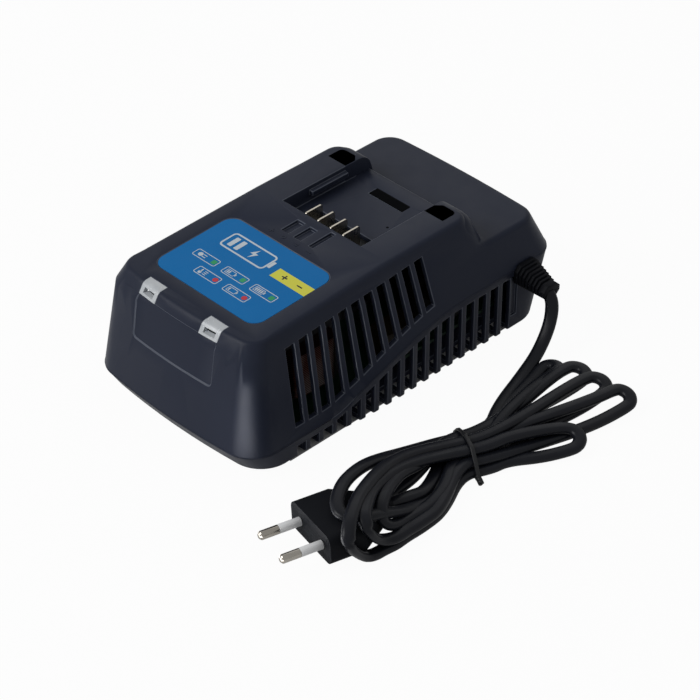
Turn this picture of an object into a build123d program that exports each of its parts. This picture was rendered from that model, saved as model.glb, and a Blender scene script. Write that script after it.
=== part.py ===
from build123d import *
import os
from math import cos, pi, radians, sin, tan

os.makedirs("parts", exist_ok=True)

# Power tool battery charger, millimetres.  +Z is up, -Y is the front with the indicator
# windows, +X the side the mains cord leaves.  The origin is the bottom centre of the charger.

# ---- housing, driving sizes ----
length = 188.0                # front to rear at the parting line
front_half_width = 51.2       # at the front corners
rear_half_width = 53.0        # behind the rise of the parting line
foot_drop = 1.5               # the feet stand this far below the lower housing
parting_front = 11.0          # height of the parting line at the front
parting_rear = 33.5           # and at the rear
rise_inset = 48.0             # from the front face to where the parting line starts to climb
rise_run = 80.0               # and from there to where it runs level again
rise_sharpness = 0.65         # below 1 the climb is steep first, then gentle
wall = 2.5
corner_radius = 16.0          # plan corners at the floor
corner_taper = 0.12           # and how much they tighten per mm of height
front_bow = 3.5               # how far the front face is bowed
rear_bow = 1.5
front_draft = 0.145           # lean of the upper walls at the front, per mm of height
rear_draft = 0.39             # and at the rear
band_gap = 4.0                # a band that leans more runs round this far above the rear deck
band_draft = 0.40
front_band_draft = 0.60       # lean of that band across the front
front_foot_draft = 0.60       # lean of the lower front wall
rear_foot_draft = 0.22        # and of the lower rear wall
bottom_round = 1.6            # rounding of the lower edge

# ---- top of the upper housing ----
rail_top = 65.0
front_top = 62.2              # the label plane slopes down to this at the windows
front_top_inset = 11.0        # how far behind the front face that is
deck_top = 50.5
step_rise = 6.5               # run of the slope from the rails down to the rear deck
top_round = 3.0
rail_end_round = 8.0          # outer rear corners of the rails

# ---- battery channel ----
channel_inset = 92.0          # from the front face
channel_length = 49.5
channel_half = 24.2
channel_depth = 8.0
flare = 5.0                   # the rails' inner rear corners are cut back by this
well_gap = 0.8                # from the channel's front wall
well_depth = 13.7
well_left = -17.0
well_right = 20.0
tongue_gap = 16.0             # from the channel's front wall
tongue_length = 22.0
tongue_out = 2.2
tongue_height = 2.4
tongue_drop = 2.2             # below the rail top
latch_gap = 1.0               # behind the tongues
latch_depth = 4.6
latch_half = 10.3
groove_depth = 1.4
groove_gap = 5.2              # in front of the channel
groove_length = 9.8
groove_short = 3.6            # the last groove ends this much nearer the channel

# ---- vents ----
vent_pitch = 7.68
vent_gap = 5.0
vent_inset = 33.6             # rear edge of the first slot, from the front face
upper_vents = 11
lower_vents = 17
vent_lip = 6.0                # upper slots stop this far above the parting line
vent_top_front = 55.5
vent_top_slope = 0.055
lower_vent_margin = 3.5       # lower slots stop this far below the parting line
vent_wrap = 7.0               # lower slots wrap this far under the bottom edge
vent_inner = 30.0             # upper slots are cut outside this
blind_gap = 1.0               # a shallow blind slot follows the last lower slot
blind_width = 3.5
blind_low = 9.0
blind_depth = 1.2

# ---- windows, label and blades ----
window_pitch = 38.0
window_width = 10.5
window_inset = 2.0            # from the front face
window_depth = 14.0
window_low = 57.6
window_opening = 6.4
window_opening_height = 2.2
window_sill = 0.9
panel_half = 24.5
panel_low = 37.0
panel_corner = 2.0
panel_depth = 0.5
label_width = 64.0
label_depth = 46.5
label_gap = 22.35             # from the label to the channel
label_corner = 6.0
label_pocket = 0.5
label_thick = 0.4
label_edge_gap = 0.2
blade_pitch = 7.68
blade_count = 4
blade_thick = 0.8
blade_gap = 0.6               # from the front of the well
blade_length = 10.2
blade_top = 63.8
blade_foot = 50.0
block_height = 9.0

# ---- insides ----
board_thick = 1.6
board_top = 10.6
board_left = -33.0
board_right = 42.0
board_front_inset = 20.0      # from the front and rear faces
board_rear_inset = 28.0
standoff_inset = 6.0
standoff_radius = 3.5
indicator_top = 52.0
indicator_inset = 13.5
indicator_depth = 14.5
indicator_width = 52.0
post_radius = 3.0
post_x = 9.0
post_inset = 9.5              # from the front edge of the indicator board
led_inset = 3.5
led_radius = 2.5
led_height = 6.0
screw_x = 34.0
screw_front_inset = 13.0
screw_rear_inset = 18.0
boss_radius = 4.2
screw_radius = 1.6
screw_head_radius = 3.2
screw_head = 2.4
screw_recess = 1.0
screw_reach = 12.0            # thread length in the upper housing
screw_clearance = 0.15
foot_radius = 5.0
foot_pocket = 1.0
foot_x = 37.0
foot_inset = 26.0

transformer_x = 22.0
transformer_inset = 34.0      # centre, from the front edge of the board
core_depth = 16.0
core_width = 40.0
core_height = 34.0
core_leg = 13.0
core_window = 7.0
core_yoke = 6.0
winding_bulge = 7.0
bulk_x = -14.0
bulk_inset = 29.0
bulk_radius = 11.0
bulk_height = 35.0
film_x = 36.0
film_inset = 59.0             # centre, from the rear edge of the board
film_depth = 11.0
film_length = 20.0
film_height = 16.0
choke_x = 27.0
choke_inset = 25.0
choke_radius = 12.0
choke_bore = 5.5
choke_height = 13.0
sink_x = -12.0
sink_depth = 32.0
sink_width = 40.0
sink_height = 28.0
sink_base = 3.0
fin_thick = 1.5
fin_count = 8
transistor_count = 3
transistor_pitch = 11.5
transistor_width = 10.0
transistor_thick = 4.5
transistor_height = 15.0
transistor_legs = 8.0
fuse_x = 24.0
fuse_inset = 6.0
fuse_length = 20.0
fuse_radius = 2.5
fuse_cap = 5.0
fuse_cap_radius = 3.0

fan_size = 40.0
fan_depth = 10.0
fan_inset = 40.0
fan_side_gap = 7.5            # from the outside of the side wall
fan_hub_radius = 8.0
fan_blade_count = 7
fan_blade_thick = 0.9
fan_blade_pitch = 35.0
fan_spoke_thick = 1.5
fan_bore_gap = 0.9
fan_shaft_radius = 1.0
fan_shaft_gap = 0.1
fan_guide = 1.8

# ---- cord, boot and plug ----
boot_inset = 22.5             # from the rear face
boot_neck_width = 9.0
boot_neck_height = 7.0
boot_width = 14.0
boot_height = 11.0
boot_flange = 2.0
boot_lip = 2.0                # the lip behind the wall, its thickness and how far it stands out
boot_play = 0.6               # from the wall to that lip
boot_corner = 2.5
boot_core_width = 9.5         # between the rings
boot_core_height = 8.0
boot_rings = 6
boot_ring_pitch = 1.75
boot_ring = 1.2
boot_taper = 0.5              # each ring is this much smaller than the one before
boot_sag = 0.42               # and this much lower
boot_end = 3.2
cord_diameter = 5.0
hank_lobe = 8.0               # radius of the loop ends in the hank's outline
hank_height = 9.5
hank_rise = 21.5              # the loops that lie on the plug are this high
tie_x = 98.0
tie_y = -13.0
tie_angle = 62.7              # direction of the strands under the tie, from +X
tie_width = 28.0
tie_band = 1.2                # half the width of the tie
tie_thick = 0.8
waist_radius = 5.0            # plan rounding of the hank beside the tie
pin_pitch = 18.6
pin_radius = 2.0
pin_length = 19.0
pin_sleeve = 10.0
pin_core = 1.5
plug_width = 34.0
plug_height = 13.7
plug_full_length = 16.5       # from the face to where the body starts to taper
plug_body_length = 33.0
plug_tail_width = 12.0
plug_tail_height = 9.0
plug_sleeve = 3.0
plug_corner = 4.0
plug_x = 95.0
plug_y = -99.5
plug_z = 8.2
plug_roll = 6.0
plug_heading = 254.7          # degrees from +X, the way the pins point


# ---- places that keep their distance from the front or the rear face ----
front_face = -length / 2
rear_face = length / 2
band_height = deck_top + band_gap
rise_start = front_face + rise_inset
rise_end = rise_start + rise_run
front_top_y = front_face + front_top_inset
window_front = front_face + window_inset
window_rear = window_front + window_depth
first_vent = front_face + vent_inset
channel_front = front_face + channel_inset
step_top_y = channel_front + channel_length
step_foot_y = step_top_y + step_rise
well_front = channel_front + well_gap
well_rear = well_front + well_depth
tongue_front = channel_front + tongue_gap
tongue_rear = tongue_front + tongue_length
latch_front = tongue_rear + latch_gap
latch_rear = latch_front + latch_depth
groove_rear = channel_front - groove_gap
groove_front = groove_rear - groove_length
blade_front = well_front + blade_gap
blade_rear = blade_front + blade_length
label_centre_y = channel_front - label_gap - label_depth / 2
blind_front = first_vent + (lower_vents - 1) * vent_pitch + blind_gap
board_front = front_face + board_front_inset
board_rear = rear_face - board_rear_inset
indicator_front = front_face + indicator_inset
indicator_rear = indicator_front + indicator_depth
post_y = indicator_front + post_inset
led_y = indicator_front + led_inset
screw_front_y = front_face + screw_front_inset
screw_rear_y = rear_face - screw_rear_inset
foot_y = rear_face - foot_inset
transformer_y = board_front + transformer_inset
bulk_y = board_front + bulk_inset
film_y = board_rear - film_inset
choke_y = board_rear - choke_inset
fuse_y = board_rear - fuse_inset
fan_y = board_rear - fan_inset
fan_outer_x = fan_side_gap - rear_half_width
boot_y = rear_face - boot_inset


def rise(y):
    """Share of the parting line's climb reached at y: 0 at the front, 1 at the rear."""
    share = (y - rise_start) / (rise_end - rise_start)
    share = min(max(share, 0.0), 1.0) ** rise_sharpness
    return share * share * (3 - 2 * share)


def parting_height(y):
    return parting_front + (parting_rear - parting_front) * rise(y)


climb_places = [rise_start + (rise_end - rise_start) * k / 6 for k in range(7)]


def rise_points(low, high):
    """Points (y, value) of a line that climbs from low to high with the parting line."""
    return [(y, low + (high - low) * rise(y)) for y in climb_places]


def upper_halves(height):
    """Half widths of the upper housing at one height, before the climb and behind it."""
    below = min(height, band_height)
    banded = band_draft * max(height - band_height, 0)
    front = front_half_width - front_draft * (below - parting_front) - banded
    rear = rear_half_width - rear_draft * (below - parting_rear) - banded
    return front, rear


def parting_half(y):
    """Half width of both mouldings where they meet at y."""
    front, rear = upper_halves(parting_height(y))
    return front + (rear - front) * rise(y)


def plan(height, widening, front_y, rear_y, inset):
    """Plan outline at one height; widening is the side line's points (y, half width)."""
    half_front = widening[0][1]
    half_rear = widening[-1][1]
    with BuildSketch(Plane.XY.offset(height)) as outline:
        with BuildLine():
            ThreePointArc((-half_front, front_y + front_bow), (0, front_y), (half_front, front_y + front_bow))
            ThreePointArc((half_rear, rear_y - rear_bow), (0, rear_y), (-half_rear, rear_y - rear_bow))
            for side in (1, -1):
                Line((side * half_front, front_y + front_bow), (side * half_front, rise_start))
                Spline(*[(side * x, y) for y, x in widening], tangents=[(0, 1), (0, 1)])
                Line((side * half_rear, rise_end), (side * half_rear, rear_y - rear_bow))
        make_face()
        corners = outline.vertices().group_by(Axis.Y)
        fillet(corners[0] + corners[-1], radius=corner_radius - corner_taper * height - inset)
    return outline.sketch


def upper_plan(height, inset=0.0):
    front_half, rear_half = upper_halves(height)
    below = min(height, band_height)
    above = max(height - band_height, 0)
    front_lean = front_draft * (below - parting_front) + front_band_draft * above
    rear_lean = rear_draft * (below - parting_rear) + band_draft * above
    return plan(
        height,
        rise_points(front_half - inset, rear_half - inset),
        front_face + front_lean + inset,
        rear_face - rear_lean - inset,
        inset,
    )


def lower_plan(height, inset=0.0):
    return plan(
        height,
        [(y, parting_half(y) - inset) for y in climb_places],
        front_face + front_foot_draft * (parting_front - height) + inset,
        rear_face - rear_foot_draft * (parting_rear - height) - inset,
        inset,
    )


reach = length                # long enough to pass right through the charger
top_slope = (rail_top - front_top) / (channel_front - front_top_y)


def label_height(y):
    """Height of the sloping front of the top."""
    return rail_top + top_slope * (y - channel_front)


def top_profile(drop=0.0):
    """Side view of the top, from front to rear, lowered by drop."""
    return [
        (-reach, label_height(-reach) - drop),
        (channel_front, rail_top - drop),
        (step_top_y - drop, rail_top - drop),
        (step_foot_y - drop, deck_top - drop),
        (reach, deck_top - drop),
    ]


# ---- outer forms of the two mouldings ----
with BuildPart() as upper_form:
    for height in (0, band_height, rail_top + corner_radius / 2):
        add(upper_plan(height))
    loft(ruled=True)
    with BuildSketch(Plane.YZ):
        with BuildLine():
            Polyline((-reach, parting_front), *top_profile(), (reach, parting_rear))
            Line((reach, parting_rear), (rise_end, parting_rear))
            Spline(*rise_points(parting_front, parting_rear), tangents=[(1, 0), (1, 0)])
            Line((rise_start, parting_front), (-reach, parting_front))
        make_face()
    extrude(amount=reach, both=True, mode=Mode.INTERSECT)
    step_sides = [
        edge
        for edge in upper_form.edges().filter_by(GeomType.LINE, reverse=True)
        if abs(edge.center().X) > channel_half
        and step_top_y - top_round < edge.center().Y < step_foot_y
        and deck_top + 1 < edge.center().Z < rail_top - 1
    ]
    fillet(step_sides, radius=rail_end_round)
    top_faces = upper_form.faces().filter_by(lambda face: face.normal_at(face.center()).Z > 0.9)
    rims = [
        edge
        for face in top_faces
        for edge in face.edges()
        if abs(edge.center().X) > 1 or abs(edge.center().Y - channel_front) > 1
    ]
    fillet(rims, radius=top_round)

with BuildPart() as lower_form:
    for height in (foot_drop, parting_rear + wall):
        add(lower_plan(height))
    loft(ruled=True)
    fillet(lower_form.faces().sort_by(Axis.Z)[0].edges(), radius=bottom_round)
    with BuildSketch(Plane.YZ):
        with BuildLine():
            Polyline((-reach, parting_front), (-reach, 0), (reach, 0), (reach, parting_rear))
            Line((reach, parting_rear), (rise_end, parting_rear))
            Spline(*rise_points(parting_front, parting_rear), tangents=[(1, 0), (1, 0)])
            Line((rise_start, parting_front), (-reach, parting_front))
        make_face()
    extrude(amount=reach, both=True, mode=Mode.INTERSECT)


# ---- heights and places that follow from the driving sizes ----
channel_floor = rail_top - channel_depth
floor_top = foot_drop + wall
board_under = board_top - board_thick
screw_seat = foot_drop + screw_recess + screw_head
screw_tip = parting_front + screw_reach
screw_places = [(x, y) for x in (-screw_x, screw_x) for y in (screw_front_y, screw_rear_y)]
rear_screws = [(x, y) for x, y in screw_places if y > 0]
foot_places = [(x, y) for x in (-foot_x, foot_x) for y in (-foot_y, foot_y)]
window_places = [-window_pitch / 2, window_pitch / 2]
label_plane = Plane(
    origin=(0, label_centre_y, label_height(label_centre_y)),
    x_dir=(1, 0, 0),
    z_dir=(0, -top_slope, 1),
)
upwards = (Align.CENTER, Align.CENTER, Align.MIN)


def slot_cutter(count, low, high, inner):
    """A row of vent slots through both side walls, from inner outwards; low and high give
    the height of their ends at y."""
    with BuildPart() as cutter:
        with BuildSketch(Plane.YZ.offset(inner)):
            for k in range(count):
                rear = first_vent + k * vent_pitch
                front = rear - vent_gap
                Polygon((front, low(front)), (rear, low(rear)), (rear, high(rear)), (front, high(front)), align=None)
        extrude(amount=reach)
        mirror(about=Plane.YZ)
    return cutter.part


# ---- upper housing ----
with BuildPart() as upper_cavity:
    for height in (0, band_height, rail_top + corner_radius / 2):
        add(upper_plan(height, wall))
    loft(ruled=True)
    with BuildSketch(Plane.YZ):
        Polygon((-reach, 0), *top_profile(wall), (reach, 0), align=None)
    extrude(amount=reach, both=True, mode=Mode.INTERSECT)
    with BuildSketch(Plane.XY.offset(channel_floor - wall)):
        with Locations((0, channel_front - wall)):
            Rectangle(2 * (channel_half + wall), reach, align=(Align.CENTER, Align.MIN))
    extrude(amount=reach, mode=Mode.SUBTRACT)
    with Locations(*[(x, y, 0) for x, y in screw_places]):
        Cylinder(boss_radius, reach, align=upwards, mode=Mode.SUBTRACT)
    with Locations((-post_x, post_y, indicator_top), (post_x, post_y, indicator_top)):
        Cylinder(post_radius, reach, align=upwards, mode=Mode.SUBTRACT)

with BuildPart() as window_blocks:
    with Locations(*[(x, (window_front + window_rear) / 2, window_low) for x in window_places]):
        Box(window_width, window_rear - window_front, reach, align=upwards)

with BuildPart() as panel_recess:
    with BuildSketch(Plane.XZ):
        with Locations((0, (panel_low + window_low) / 2)):
            RectangleRounded(2 * panel_half, window_low - panel_low, panel_corner)
    extrude(amount=reach)
    for height in (0, band_height, rail_top + corner_radius / 2):
        add(upper_plan(height, panel_depth))
    loft(ruled=True, mode=Mode.SUBTRACT)

upper_slots = slot_cutter(
    upper_vents,
    lambda y: parting_height(y) + vent_lip,
    lambda y: vent_top_front + vent_top_slope * (y - first_vent),
    vent_inner,
)
groove_edges = ((-9.1, -4.8, groove_rear), (-1.4, 2.8, groove_rear), (7.9, 10.4, groove_rear + groove_short))

with BuildPart() as upper_housing:
    add(upper_form.part)
    add(upper_cavity.part, mode=Mode.SUBTRACT)
    with Locations(*[(x, y, parting_front) for x, y in rear_screws]):
        Cylinder(boss_radius, parting_rear + wall - parting_front, align=upwards)
    with Locations(*[(x, y, 0) for x, y in screw_places]):
        Cylinder(screw_radius, screw_tip + 1, align=upwards, mode=Mode.SUBTRACT)
    # battery channel, open to the rear, with its rear inner corners cut back
    with BuildSketch(Plane.XY.offset(channel_floor)):
        widest = channel_half + flare + step_foot_y - step_top_y
        half_plan = [(channel_half, channel_front), (channel_half, step_top_y - flare), (widest, step_foot_y)]
        Polygon(*half_plan, *[(-x, y) for x, y in reversed(half_plan)], align=None)
    extrude(amount=reach, mode=Mode.SUBTRACT)
    with Locations(((well_left + well_right) / 2, (well_front + well_rear) / 2, channel_floor - wall)):
        Box(well_right - well_left, well_rear - well_front, wall, align=upwards, mode=Mode.SUBTRACT)
    with Locations((0, (latch_front + latch_rear) / 2, channel_floor)):
        Box(2 * latch_half, latch_rear - latch_front, 2 * (wall - 0.8), mode=Mode.SUBTRACT)
    for side in (-1, 1):
        with Locations((side * (channel_half - (tongue_out - wall) / 2), (tongue_front + tongue_rear) / 2, 0)):
            with Locations((0, 0, rail_top - tongue_drop - tongue_height / 2)):
                Box(tongue_out + wall, tongue_rear - tongue_front, tongue_height)
    for left, right, rear in groove_edges:
        middle = (groove_front + rear) / 2
        with Locations(((left + right) / 2, middle, label_height(middle) - groove_depth)):
            Box(right - left, rear - groove_front, reach, align=upwards, mode=Mode.SUBTRACT)
    with BuildSketch(label_plane):
        RectangleRounded(label_width, label_depth, label_corner)
    extrude(amount=-label_pocket, mode=Mode.SUBTRACT)
    add(window_blocks.part, mode=Mode.SUBTRACT)
    add(panel_recess.part, mode=Mode.SUBTRACT)
    add(upper_slots, mode=Mode.SUBTRACT)
upper_housing.part.label = "upper_housing"
export_step(upper_housing.part, "parts/upper_housing.step")
print("upper_housing", upper_housing.part.volume, upper_housing.part.is_valid)


# ---- lower housing ----
with BuildPart() as lower_cavity:
    for height in (floor_top, parting_rear + wall):
        add(lower_plan(height, wall))
    loft(ruled=True)
    with Locations(*[(x, y, 0) for x, y in screw_places]):
        Cylinder(boss_radius, parting_front, align=upwards, mode=Mode.SUBTRACT)
    for x in (board_left + standoff_inset, board_right - standoff_inset):
        for y in (board_front + standoff_inset, (board_front + board_rear) / 2, board_rear - standoff_inset):
            with Locations((x, y, 0)):
                Cylinder(standoff_radius, board_under, align=upwards, mode=Mode.SUBTRACT)

fan_z = floor_top + fan_size / 2
fan_inner_x = fan_outer_x + fan_depth
boot_z = parting_rear - boot_neck_height / 2
lower_slots = slot_cutter(
    lower_vents,
    lambda y: 0,
    lambda y: parting_height(y) - lower_vent_margin,
    front_half_width - vent_wrap,
)

with BuildPart() as lower_housing:
    add(lower_form.part)
    add(lower_cavity.part, mode=Mode.SUBTRACT)
    add(lower_slots, mode=Mode.SUBTRACT)
    blind_high = parting_rear - lower_vent_margin
    with Locations(*[(x, blind_front + blind_width / 2, blind_low) for x in (-rear_half_width, rear_half_width)]):
        Box(2 * blind_depth, blind_width, blind_high - blind_low, align=upwards, mode=Mode.SUBTRACT)
    with Locations(*[(x, y, 0) for x, y in foot_places]):
        Cylinder(foot_radius, foot_drop + foot_pocket, align=upwards, mode=Mode.SUBTRACT)
    with Locations(*[(x, y, 0) for x, y in screw_places]):
        Cylinder(screw_head_radius + screw_clearance, screw_seat, align=upwards, mode=Mode.SUBTRACT)
        Cylinder(screw_radius + screw_clearance, reach, align=upwards, mode=Mode.SUBTRACT)
    with Locations((rear_half_width, boot_y, boot_z)):
        Box(4 * wall, boot_neck_width, boot_neck_height, mode=Mode.SUBTRACT)
    for y in (fan_y - fan_size / 2 - fan_guide / 2, fan_y + fan_size / 2 + fan_guide / 2):
        with Locations(((fan_outer_x + fan_inner_x) / 2, y, foot_drop + wall / 2)):
            Box(fan_depth + 2, fan_guide, fan_size / 2, align=upwards)
lower_housing.part.label = "lower_housing"
export_step(lower_housing.part, "parts/lower_housing.step")
print("lower_housing", lower_housing.part.volume, lower_housing.part.is_valid)


# ---- windows, label and battery contacts ----
def window(x):
    with BuildPart() as light_window:
        with Locations((x, (window_front + window_rear) / 2, window_low)):
            Box(window_width, window_rear - window_front, reach, align=upwards)
        add(upper_form.part, mode=Mode.INTERSECT)
        add(upper_cavity.part, mode=Mode.SUBTRACT)
        with Locations((x, window_front, window_low + window_sill)):
            Box(window_opening, reach, window_opening_height, align=upwards, mode=Mode.SUBTRACT)
    return light_window.part


led_window_left = window(-window_pitch / 2)
led_window_left.label = "led_window_left"
export_step(led_window_left, "parts/led_window_left.step")
led_window_right = window(window_pitch / 2)
led_window_right.label = "led_window_right"
export_step(led_window_right, "parts/led_window_right.step")

with BuildPart() as status_label:
    with BuildSketch(label_plane.offset(-label_pocket)):
        RectangleRounded(label_width - 2 * label_edge_gap, label_depth - 2 * label_edge_gap, label_corner)
    extrude(amount=label_thick)
status_label.part.label = "status_label"
export_step(status_label.part, "parts/status_label.step")

blade_places = [(k - (blade_count - 1) / 2) * blade_pitch for k in range(blade_count)]
block_top = channel_floor - wall


def blade(x):
    with BuildPart() as contact:
        with Locations((x, (blade_front + blade_rear) / 2, blade_foot)):
            Box(blade_thick, blade_rear - blade_front, blade_top - blade_foot, align=upwards)
        tips = contact.edges().filter_by(Axis.X).group_by(Axis.Z)[-1]
        fillet(tips, radius=1.2)
    return contact.part


for number, x in enumerate(blade_places, start=1):
    contact_blade = blade(x)
    contact_blade.label = f"contact_blade_{number}"
    export_step(contact_blade, f"parts/contact_blade_{number}.step")

with BuildPart() as terminal_block:
    with Locations(((well_left + well_right) / 2, (well_front + well_rear) / 2, block_top - block_height)):
        Box(well_right - well_left + 3, well_rear - well_front + 3, block_height, align=upwards)
    with Locations(*[(x, (blade_front + blade_rear) / 2, blade_foot) for x in blade_places]):
        Box(blade_thick, blade_rear - blade_front, block_height, align=upwards, mode=Mode.SUBTRACT)
terminal_block.part.label = "terminal_block"
export_step(terminal_block.part, "parts/terminal_block.step")


# ---- circuit board and what stands on it ----
with BuildPart() as circuit_board:
    with Locations(((board_left + board_right) / 2, (board_front + board_rear) / 2, board_under)):
        Box(board_right - board_left, board_rear - board_front, board_thick, align=upwards)
circuit_board.part.label = "circuit_board"
export_step(circuit_board.part, "parts/circuit_board.step")

with BuildPart(Plane.XY.offset(board_top)) as transformer_core:
    with Locations((transformer_x, transformer_y)):
        Box(core_depth, core_width, core_height, align=upwards)
        for side in (-1, 1):
            with Locations((0, side * (core_leg + core_window) / 2, core_yoke)):
                Box(core_depth, core_window, core_height - 2 * core_yoke, align=upwards, mode=Mode.SUBTRACT)
transformer_core.part.label = "transformer_core"
export_step(transformer_core.part, "parts/transformer_core.step")

with BuildPart() as transformer_winding:
    with BuildSketch(Plane.XY.offset(board_top + core_yoke)):
        with Locations((transformer_x, transformer_y)):
            RectangleRounded(core_depth + 2 * winding_bulge, core_leg + 2 * core_window - 0.6, 5)
            Rectangle(core_depth, core_leg, mode=Mode.SUBTRACT)
    extrude(amount=core_height - 2 * core_yoke)
transformer_winding.part.label = "transformer_winding"
export_step(transformer_winding.part, "parts/transformer_winding.step")

with BuildPart(Plane.XY.offset(board_top)) as bulk_capacitor:
    with Locations((bulk_x, bulk_y)):
        Cylinder(bulk_radius, bulk_height, align=upwards)
    chamfer(bulk_capacitor.edges().group_by(Axis.Z)[-1], length=1)
bulk_capacitor.part.label = "bulk_capacitor"
export_step(bulk_capacitor.part, "parts/bulk_capacitor.step")

with BuildPart(Plane.XY.offset(board_top)) as film_capacitor:
    with Locations((film_x, film_y)):
        Box(film_depth, film_length, film_height, align=upwards)
    fillet(film_capacitor.edges().filter_by(Axis.Z), radius=1.5)
film_capacitor.part.label = "film_capacitor"
export_step(film_capacitor.part, "parts/film_capacitor.step")

with BuildPart(Plane.XY.offset(board_top)) as choke:
    with Locations((choke_x, choke_y)):
        Cylinder(choke_radius, choke_height, align=upwards)
        Cylinder(choke_bore, choke_height, align=upwards, mode=Mode.SUBTRACT)
    chamfer(choke.edges().filter_by(GeomType.CIRCLE), length=1.5)
choke.part.label = "choke"
export_step(choke.part, "parts/choke.step")

with BuildPart(Plane.XY.offset(board_top)) as heat_sink:
    with Locations((sink_x, fan_y)):
        Box(sink_depth, sink_width, sink_base, align=upwards)
        with GridLocations(0, (sink_width - fin_thick) / (fin_count - 1), 1, fin_count):
            Box(sink_depth, fin_thick, sink_height, align=upwards)
heat_sink.part.label = "heat_sink"
export_step(heat_sink.part, "parts/heat_sink.step")

transistor_y = fan_y + sink_width / 2 + transistor_thick / 2
with BuildPart(Plane.XY.offset(board_top)) as power_transistors:
    with Locations((sink_x, transistor_y, transistor_legs)):
        with GridLocations(transistor_pitch, 0, transistor_count, 1):
            Box(transistor_width, transistor_thick, transistor_height, align=upwards)
    with Locations((sink_x, transistor_y)):
        with GridLocations(transistor_pitch, 0, transistor_count, 1):
            with GridLocations(2.54, 0, 3, 1):
                Box(0.8, 0.6, transistor_legs, align=upwards)
power_transistors.part.label = "power_transistors"
export_step(power_transistors.part, "parts/power_transistors.step")

fuse_plane = Plane(origin=(fuse_x - fuse_length / 2, fuse_y, board_top + fuse_cap_radius), x_dir=(0, 1, 0), z_dir=(1, 0, 0))
with BuildPart(fuse_plane) as fuse:
    Cylinder(fuse_radius, fuse_length, align=upwards)
    for start in (0, fuse_length - fuse_cap):
        with Locations((0, 0, start)):
            Cylinder(fuse_cap_radius, fuse_cap, align=upwards)
fuse.part.label = "fuse"
export_step(fuse.part, "parts/fuse.step")

with BuildPart() as indicator_board:
    with Locations((0, (indicator_front + indicator_rear) / 2, indicator_top)):
        Box(indicator_width, indicator_rear - indicator_front, board_thick, align=(Align.CENTER, Align.CENTER, Align.MAX))
indicator_board.part.label = "indicator_board"
export_step(indicator_board.part, "parts/indicator_board.step")

with BuildPart() as status_leds:
    with Locations(*[(x, led_y, indicator_top) for x in window_places]):
        Cylinder(led_radius, led_height, align=upwards)
    chamfer(status_leds.edges().group_by(Axis.Z)[-1], length=led_radius / 2)
status_leds.part.label = "status_leds"
export_step(status_leds.part, "parts/status_leds.step")


# ---- cooling fan, its axis along X ----
fan_plane = Plane(origin=(fan_outer_x, fan_y, fan_z), x_dir=(0, 1, 0), z_dir=(1, 0, 0))
fan_bore = fan_size / 2 - 1.2
fan_tip = fan_bore - fan_bore_gap
fan_spokes_at = fan_depth - fan_spoke_thick

with BuildPart(fan_plane) as fan_frame:
    Box(fan_size, fan_size, fan_depth, align=upwards)
    fillet(fan_frame.edges().filter_by(Axis.X), radius=2)
    Cylinder(fan_bore, fan_depth, align=upwards, mode=Mode.SUBTRACT)
    with GridLocations(fan_size - 8, fan_size - 8, 2, 2):
        Cylinder(1.7, fan_depth, align=upwards, mode=Mode.SUBTRACT)
    with Locations((0, 0, fan_spokes_at)):
        Cylinder(fan_hub_radius, fan_spoke_thick, align=upwards)
        for turn in (45, 135):
            Box(2 * fan_bore + 1, 2.5, fan_spoke_thick, rotation=(0, 0, turn), align=upwards)
    Cylinder(fan_shaft_radius + fan_shaft_gap, fan_depth, align=upwards, mode=Mode.SUBTRACT)
fan_frame.part.label = "fan_frame"
export_step(fan_frame.part, "parts/fan_frame.step")

with BuildPart(fan_plane) as fan_rotor:
    with Locations((0, 0, (1 + fan_spokes_at) / 2)):
        with PolarLocations(0, fan_blade_count):
            Box(reach, fan_blade_thick, fan_depth, rotation=(fan_blade_pitch, 0, 0), align=(Align.MIN, Align.CENTER, Align.CENTER))
        Cylinder(fan_tip, fan_spokes_at - 2, mode=Mode.INTERSECT)
        Cylinder(fan_hub_radius, fan_spokes_at - 2)
        Cylinder(fan_shaft_radius, fan_depth - (1 + fan_spokes_at) / 2, align=upwards)
fan_rotor.part.label = "fan_rotor"
export_step(fan_rotor.part, "parts/fan_rotor.step")


# ---- screws and feet ----
with BuildPart() as housing_screws:
    with Locations(*[(x, y, screw_seat) for x, y in screw_places]):
        Cylinder(screw_radius, screw_tip - screw_seat, align=upwards)
        Cylinder(screw_head_radius, screw_head, align=(Align.CENTER, Align.CENTER, Align.MAX))
    with Locations(*[(x, y, screw_seat - screw_head) for x, y in screw_places]):
        for turn in (0, 90):
            Box(screw_head_radius + 0.6, 0.8, screw_head, rotation=(0, 0, turn), mode=Mode.SUBTRACT)
housing_screws.part.label = "housing_screws"
export_step(housing_screws.part, "parts/housing_screws.step")

with BuildPart() as rubber_feet:
    with Locations(*[(x, y, 0) for x, y in foot_places]):
        Cylinder(foot_radius, foot_drop + foot_pocket, align=upwards)
    chamfer(rubber_feet.edges().group_by(Axis.Z)[0], length=0.5)
rubber_feet.part.label = "rubber_feet"
export_step(rubber_feet.part, "parts/rubber_feet.step")


# ---- cord ----
def bend_radii(points):
    """For each inner point, the radius whose arc takes 0.45 of the shorter run beside it."""
    radii = []
    for before, here, after in zip(points, points[1:], points[2:]):
        first = Vector(*here) - Vector(*before)
        second = Vector(*after) - Vector(*here)
        shorter = min(first.length, second.length)
        radii.append(0.45 * shorter / tan(radians(first.get_angle(second)) / 2))
    return radii


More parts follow.
